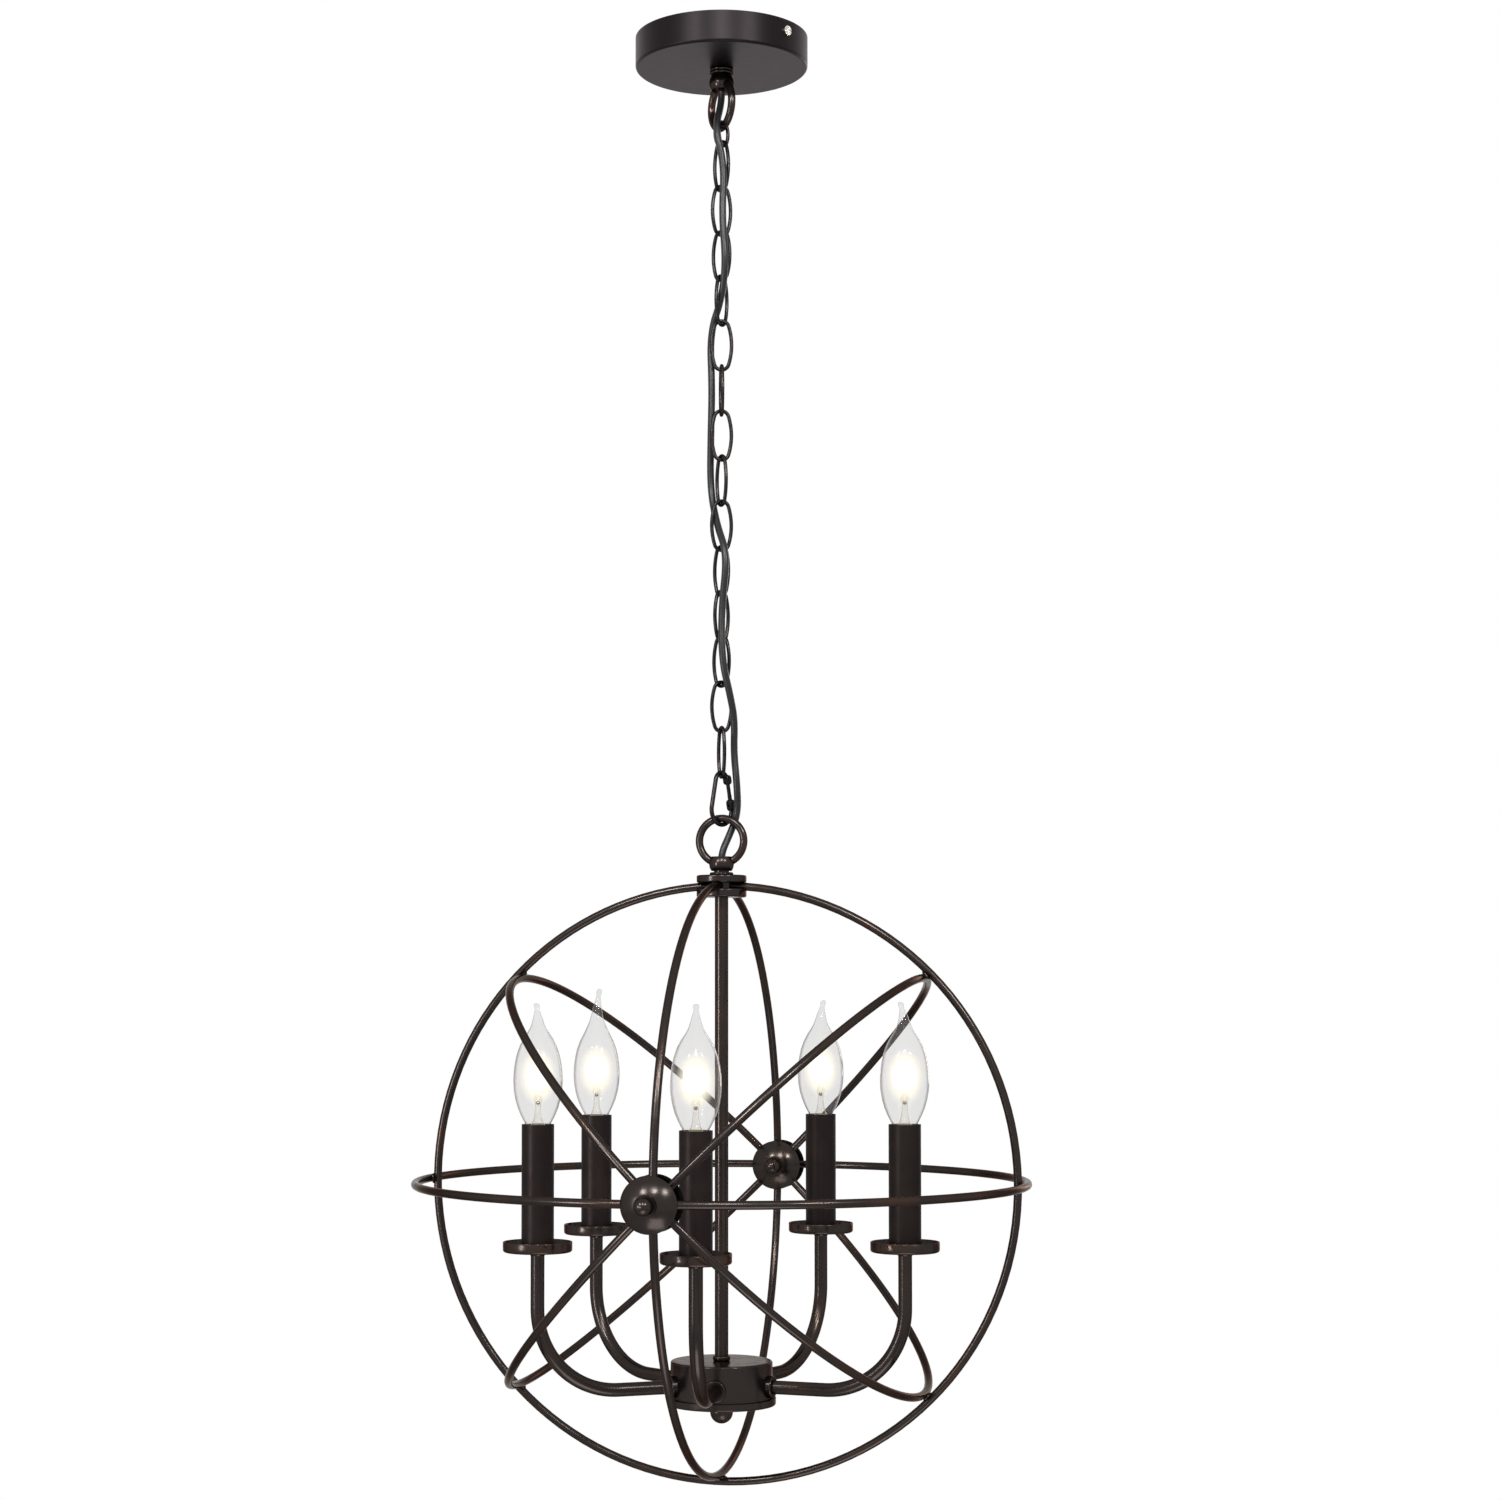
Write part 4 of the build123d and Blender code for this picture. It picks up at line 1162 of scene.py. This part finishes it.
@dataclass
class CandleRing:
    """The five candles on their circle: a pressed drip pan under each and a lit bulb on top."""

    circle: float = 141.0 * MM
    turns: tuple[float, ...] = (-85.0, -8.5, 69.0, 145.5, 212.5)  # degrees from +X
    leans: tuple[float, ...] = (100.0, 180.0, 48.0, 60.0, 132.0)  # of the bulbs' tips
    heights: tuple[float, ...] = (87.0, 88.0, 88.5, 97.5, 87.0)
    pan_steps: int = 96  # faces round a pan
    pan: Points = (
        (4.75, 0.0),
        (22.9, 0.0),
        (23.6, 0.25),
        (24.0, 1.0),
        (24.0, 5.6),
        (24.15, 5.9),
        (24.5, 6.0),
        (24.85, 5.9),
        (25.0, 5.6),
        (25.0, 0.3),
        (24.85, -0.5),
        (24.3, -1.2),
        (23.4, -1.6),
        (16.0, -1.75),
        (7.4, -1.9),
        (6.3, -2.2),
        (5.6, -2.9),
        (5.25, -4.1),
        (4.75, -4.1),
        (4.75, 0.0),
    )

    def place(self, turn: float, height: float) -> Vector:
        """Where a candle's axis crosses a height.

        Args:
            turn: The candle's place on the circle, in degrees from +X.
            height: The height in metres.

        Returns:
            The point.
        """
        angle = math.radians(turn)
        return Vector((self.circle * math.cos(angle), self.circle * math.sin(angle), height))

    def pans(self, shop: PaintShop) -> None:
        """Press the five drip pans, flat cups with an upright rim.

        Args:
            shop: Where the finish comes from.
        """
        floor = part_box("candle_sleeves")[0].z
        whole = bmesh.new()
        for turn in self.turns:
            one = mesh_from(spun(self.pan, self.place(turn, floor), self.pan_steps), "one_pan")
            whole.from_mesh(one)
            bpy.data.meshes.remove(one)
        mesh = mesh_from(whole, "pressed_pans", 50.0)
        piece = add_piece(mesh, "pressed_pans", shop.material(BRONZE))
        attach(piece, "orb")
        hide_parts("drip_pans")
        log.info("candles: %d drip pans", len(self.turns))

    def build(self, shop: PaintShop) -> None:
        """Set a pan under every candle and light it.

        Args:
            shop: Where the finishes come from.
        """
        self.pans(shop)
        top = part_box("candle_sleeves")[1].z
        candles = zip(self.turns, self.leans, self.heights)
        for number, (turn, lean, height) in enumerate(candles, start=1):
            FlameBulb(number, self.place(turn, top), lean, height).build(shop)


# ---------------------------------------------------------------- studio
@dataclass(frozen=True)
class SoftBox:
    """A soft rectangular lamp, in metres and watts."""

    name: str
    at: tuple[float, float, float]
    width: float
    height: float
    power: float
    colour: str = "#ffffff"
    aim: tuple[float, float, float] = (0.0, 0.0, -0.8)

    def build(self) -> None:
        """Hang the lamp and turn it to what it lights."""
        lamp = bpy.data.lights.new(self.name, "AREA")
        lamp.shape = "RECTANGLE"
        lamp.size = self.width
        lamp.size_y = self.height
        lamp.energy = self.power
        lamp.color = linear(self.colour)[:3]
        holder = bpy.data.objects.new(self.name, lamp)
        holder.location = self.at
        way = Vector(self.aim) - Vector(self.at)
        holder.rotation_mode = "QUATERNION"
        holder.rotation_quaternion = way.to_track_quat("-Z", "Y")
        bpy.context.scene.collection.objects.link(holder)


@dataclass
class Studio:
    """A white room with soft lamps, a pale floor far below, and the photograph's camera."""

    focal_px: float = 2840.7
    frame_px: float = 1500.0
    distance: float = 2.1007
    azimuth: float = 12.209
    height: float = -0.7107
    pitch: float = 2.387
    axis_px: float = 28.445  # the light's axis left of the frame's middle
    drop_px: float = 120.0  # the picture's content below the optical axis
    sensor_mm: float = 36.0
    clip: tuple[float, float] = (0.05, 50.0)
    soft_light: float = 0.20  # of the room, where neither camera, gloss nor glass sees it
    floor_at: float = -2.4
    floor_radius: float = 5.0
    floor_glow: float = 0.75  # share of the floor's own white where it is seen
    floor_cloud_mm: float = 400.0
    lamps: tuple[SoftBox, ...] = (
        SoftBox("top_softbox", (0.40, -1.79, 0.59), 0.40, 0.34, 26.0),
        SoftBox("left_softbox", (-0.78, -1.80, 0.43), 0.36, 0.36, 25.0),
        SoftBox("right_softbox", (1.44, -1.33, 0.43), 0.36, 0.36, 25.0),
        SoftBox("side_softbox", (-1.55, -1.83, -0.70), 0.26, 0.80, 22.0),
        SoftBox("back_softbox", (0.9, 2.2, -0.3), 0.5, 1.2, 8.0, "#fff0e2"),
        SoftBox("low_softbox", (0.3, -0.9, -2.2), 1.0, 1.0, 12.0, aim=(0.0, 0.0, -0.2)),
    )

    def seen_rays(self, tree: bpy.types.NodeTree) -> bpy.types.NodeSocket:
        """One for rays that show the room straight, in gloss or through glass, else nought.

        Args:
            tree: Node tree that gets the nodes.

        Returns:
            The socket with one or nought.
        """
        path = add_node(tree, "ShaderNodeLightPath")
        seen = add_node(
            tree,
            "ShaderNodeMath",
            {0: path.outputs["Is Camera Ray"], 1: path.outputs["Is Glossy Ray"]},
            operation="MAXIMUM",
        )
        through = add_node(
            tree,
            "ShaderNodeMath",
            {0: seen.outputs[0], 1: path.outputs["Is Transmission Ray"]},
            operation="MAXIMUM",
        )
        return through.outputs[0]

    def white_world(self) -> None:
        """White where the camera, gloss or glass sees the room, and soft light elsewhere."""
        world = bpy.data.worlds.new("studio_room")
        world.use_nodes = True
        tree = world.node_tree
        tree.nodes.clear()
        soft = add_node(
            tree,
            "ShaderNodeBackground",
            {"Color": linear("#f4f6fa"), "Strength": self.soft_light},
        )
        white = add_node(
            tree, "ShaderNodeBackground", {"Color": linear("#ffffff"), "Strength": 1.0}
        )
        mixed = add_node(
            tree,
            "ShaderNodeMixShader",
            {0: self.seen_rays(tree), 1: soft.outputs[0], 2: white.outputs[0]},
        )
        add_node(tree, "ShaderNodeOutputWorld", {"Surface": mixed.outputs[0]})
        bpy.context.scene.world = world

    def floor(self) -> None:
        """Lay a round pale floor below the light."""
        material, tree = new_material("pale_floor_paint")
        tones = add_node(
            tree,
            "ShaderNodeValToRGB",
            {"Fac": noise(tree, self.floor_cloud_mm, 3.0)},
            stops=[(0.3, "#f2f2f0"), (0.7, "#f7f7f5")],
        )
        shader = add_node(
            tree,
            "ShaderNodeBsdfPrincipled",
            {"Base Color": tones.outputs["Color"], "Roughness": 0.8},
        )
        pale = add_node(
            tree, "ShaderNodeEmission", {"Color": tones.outputs["Color"], "Strength": 1.0}
        )
        share = add_node(
            tree,
            "ShaderNodeMath",
            {0: self.seen_rays(tree), 1: self.floor_glow},
            operation="MULTIPLY",
        )
        mixed = add_node(
            tree,
            "ShaderNodeMixShader",
            {0: share.outputs[0], 1: shader.outputs[0], 2: pale.outputs[0]},
        )
        finish_material(tree, mixed.outputs[0])
        shape = bmesh.new()
        bmesh.ops.create_circle(
            shape,
            cap_ends=True,
            segments=96,
            radius=self.floor_radius,
            matrix=Matrix.Translation((0.0, 0.0, self.floor_at)),
        )
        mesh = bpy.data.meshes.new("studio_floor")
        shape.to_mesh(mesh)
        shape.free()
        mesh.materials.append(material)
        piece = bpy.data.objects.new("studio_floor", mesh)
        bpy.context.scene.collection.objects.link(piece)

    def camera(self) -> None:
        """Set the camera where the photograph was taken from."""
        lens = bpy.data.cameras.new("photo_camera")
        lens.sensor_width = self.sensor_mm
        lens.lens = self.focal_px / self.frame_px * self.sensor_mm
        lens.shift_x = self.axis_px / self.frame_px
        lens.shift_y = self.drop_px / self.frame_px
        lens.clip_start, lens.clip_end = self.clip
        holder = bpy.data.objects.new("photo_camera", lens)
        turn, tilt = math.radians(self.azimuth), math.radians(self.pitch)
        back = Vector((math.sin(turn), -math.cos(turn), 0.0))  # from the light to the camera
        holder.location = back * self.distance + Vector((0.0, 0.0, self.height))
        way = -back * math.cos(tilt) + Vector((0.0, 0.0, math.sin(tilt)))
        holder.rotation_mode = "QUATERNION"
        holder.rotation_quaternion = way.to_track_quat("-Z", "Y")
        bpy.context.scene.collection.objects.link(holder)
        bpy.context.scene.camera = holder

    def build(self) -> None:
        """Set up the room, the lamps and the camera."""
        self.white_world()
        self.floor()
        for lamp in self.lamps:
            lamp.build()
        self.camera()
        bpy.context.scene.view_settings.view_transform = "Standard"
        log.info("studio: room, floor, %d lamps and camera", len(self.lamps))


def main() -> None:
    """Build the pieces round the frame, in order."""
    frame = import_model()
    shop = PaintShop()
    shop.dress_frame(frame)
    PowerCable().build(frame, shop)
    ChainSeams().build(shop)
    RingWelds().build(shop)
    CandleRing().build(shop)
    Studio().build()


if __name__ == "__main__":
    logging.basicConfig(level=logging.INFO, format="%(message)s")
    main()
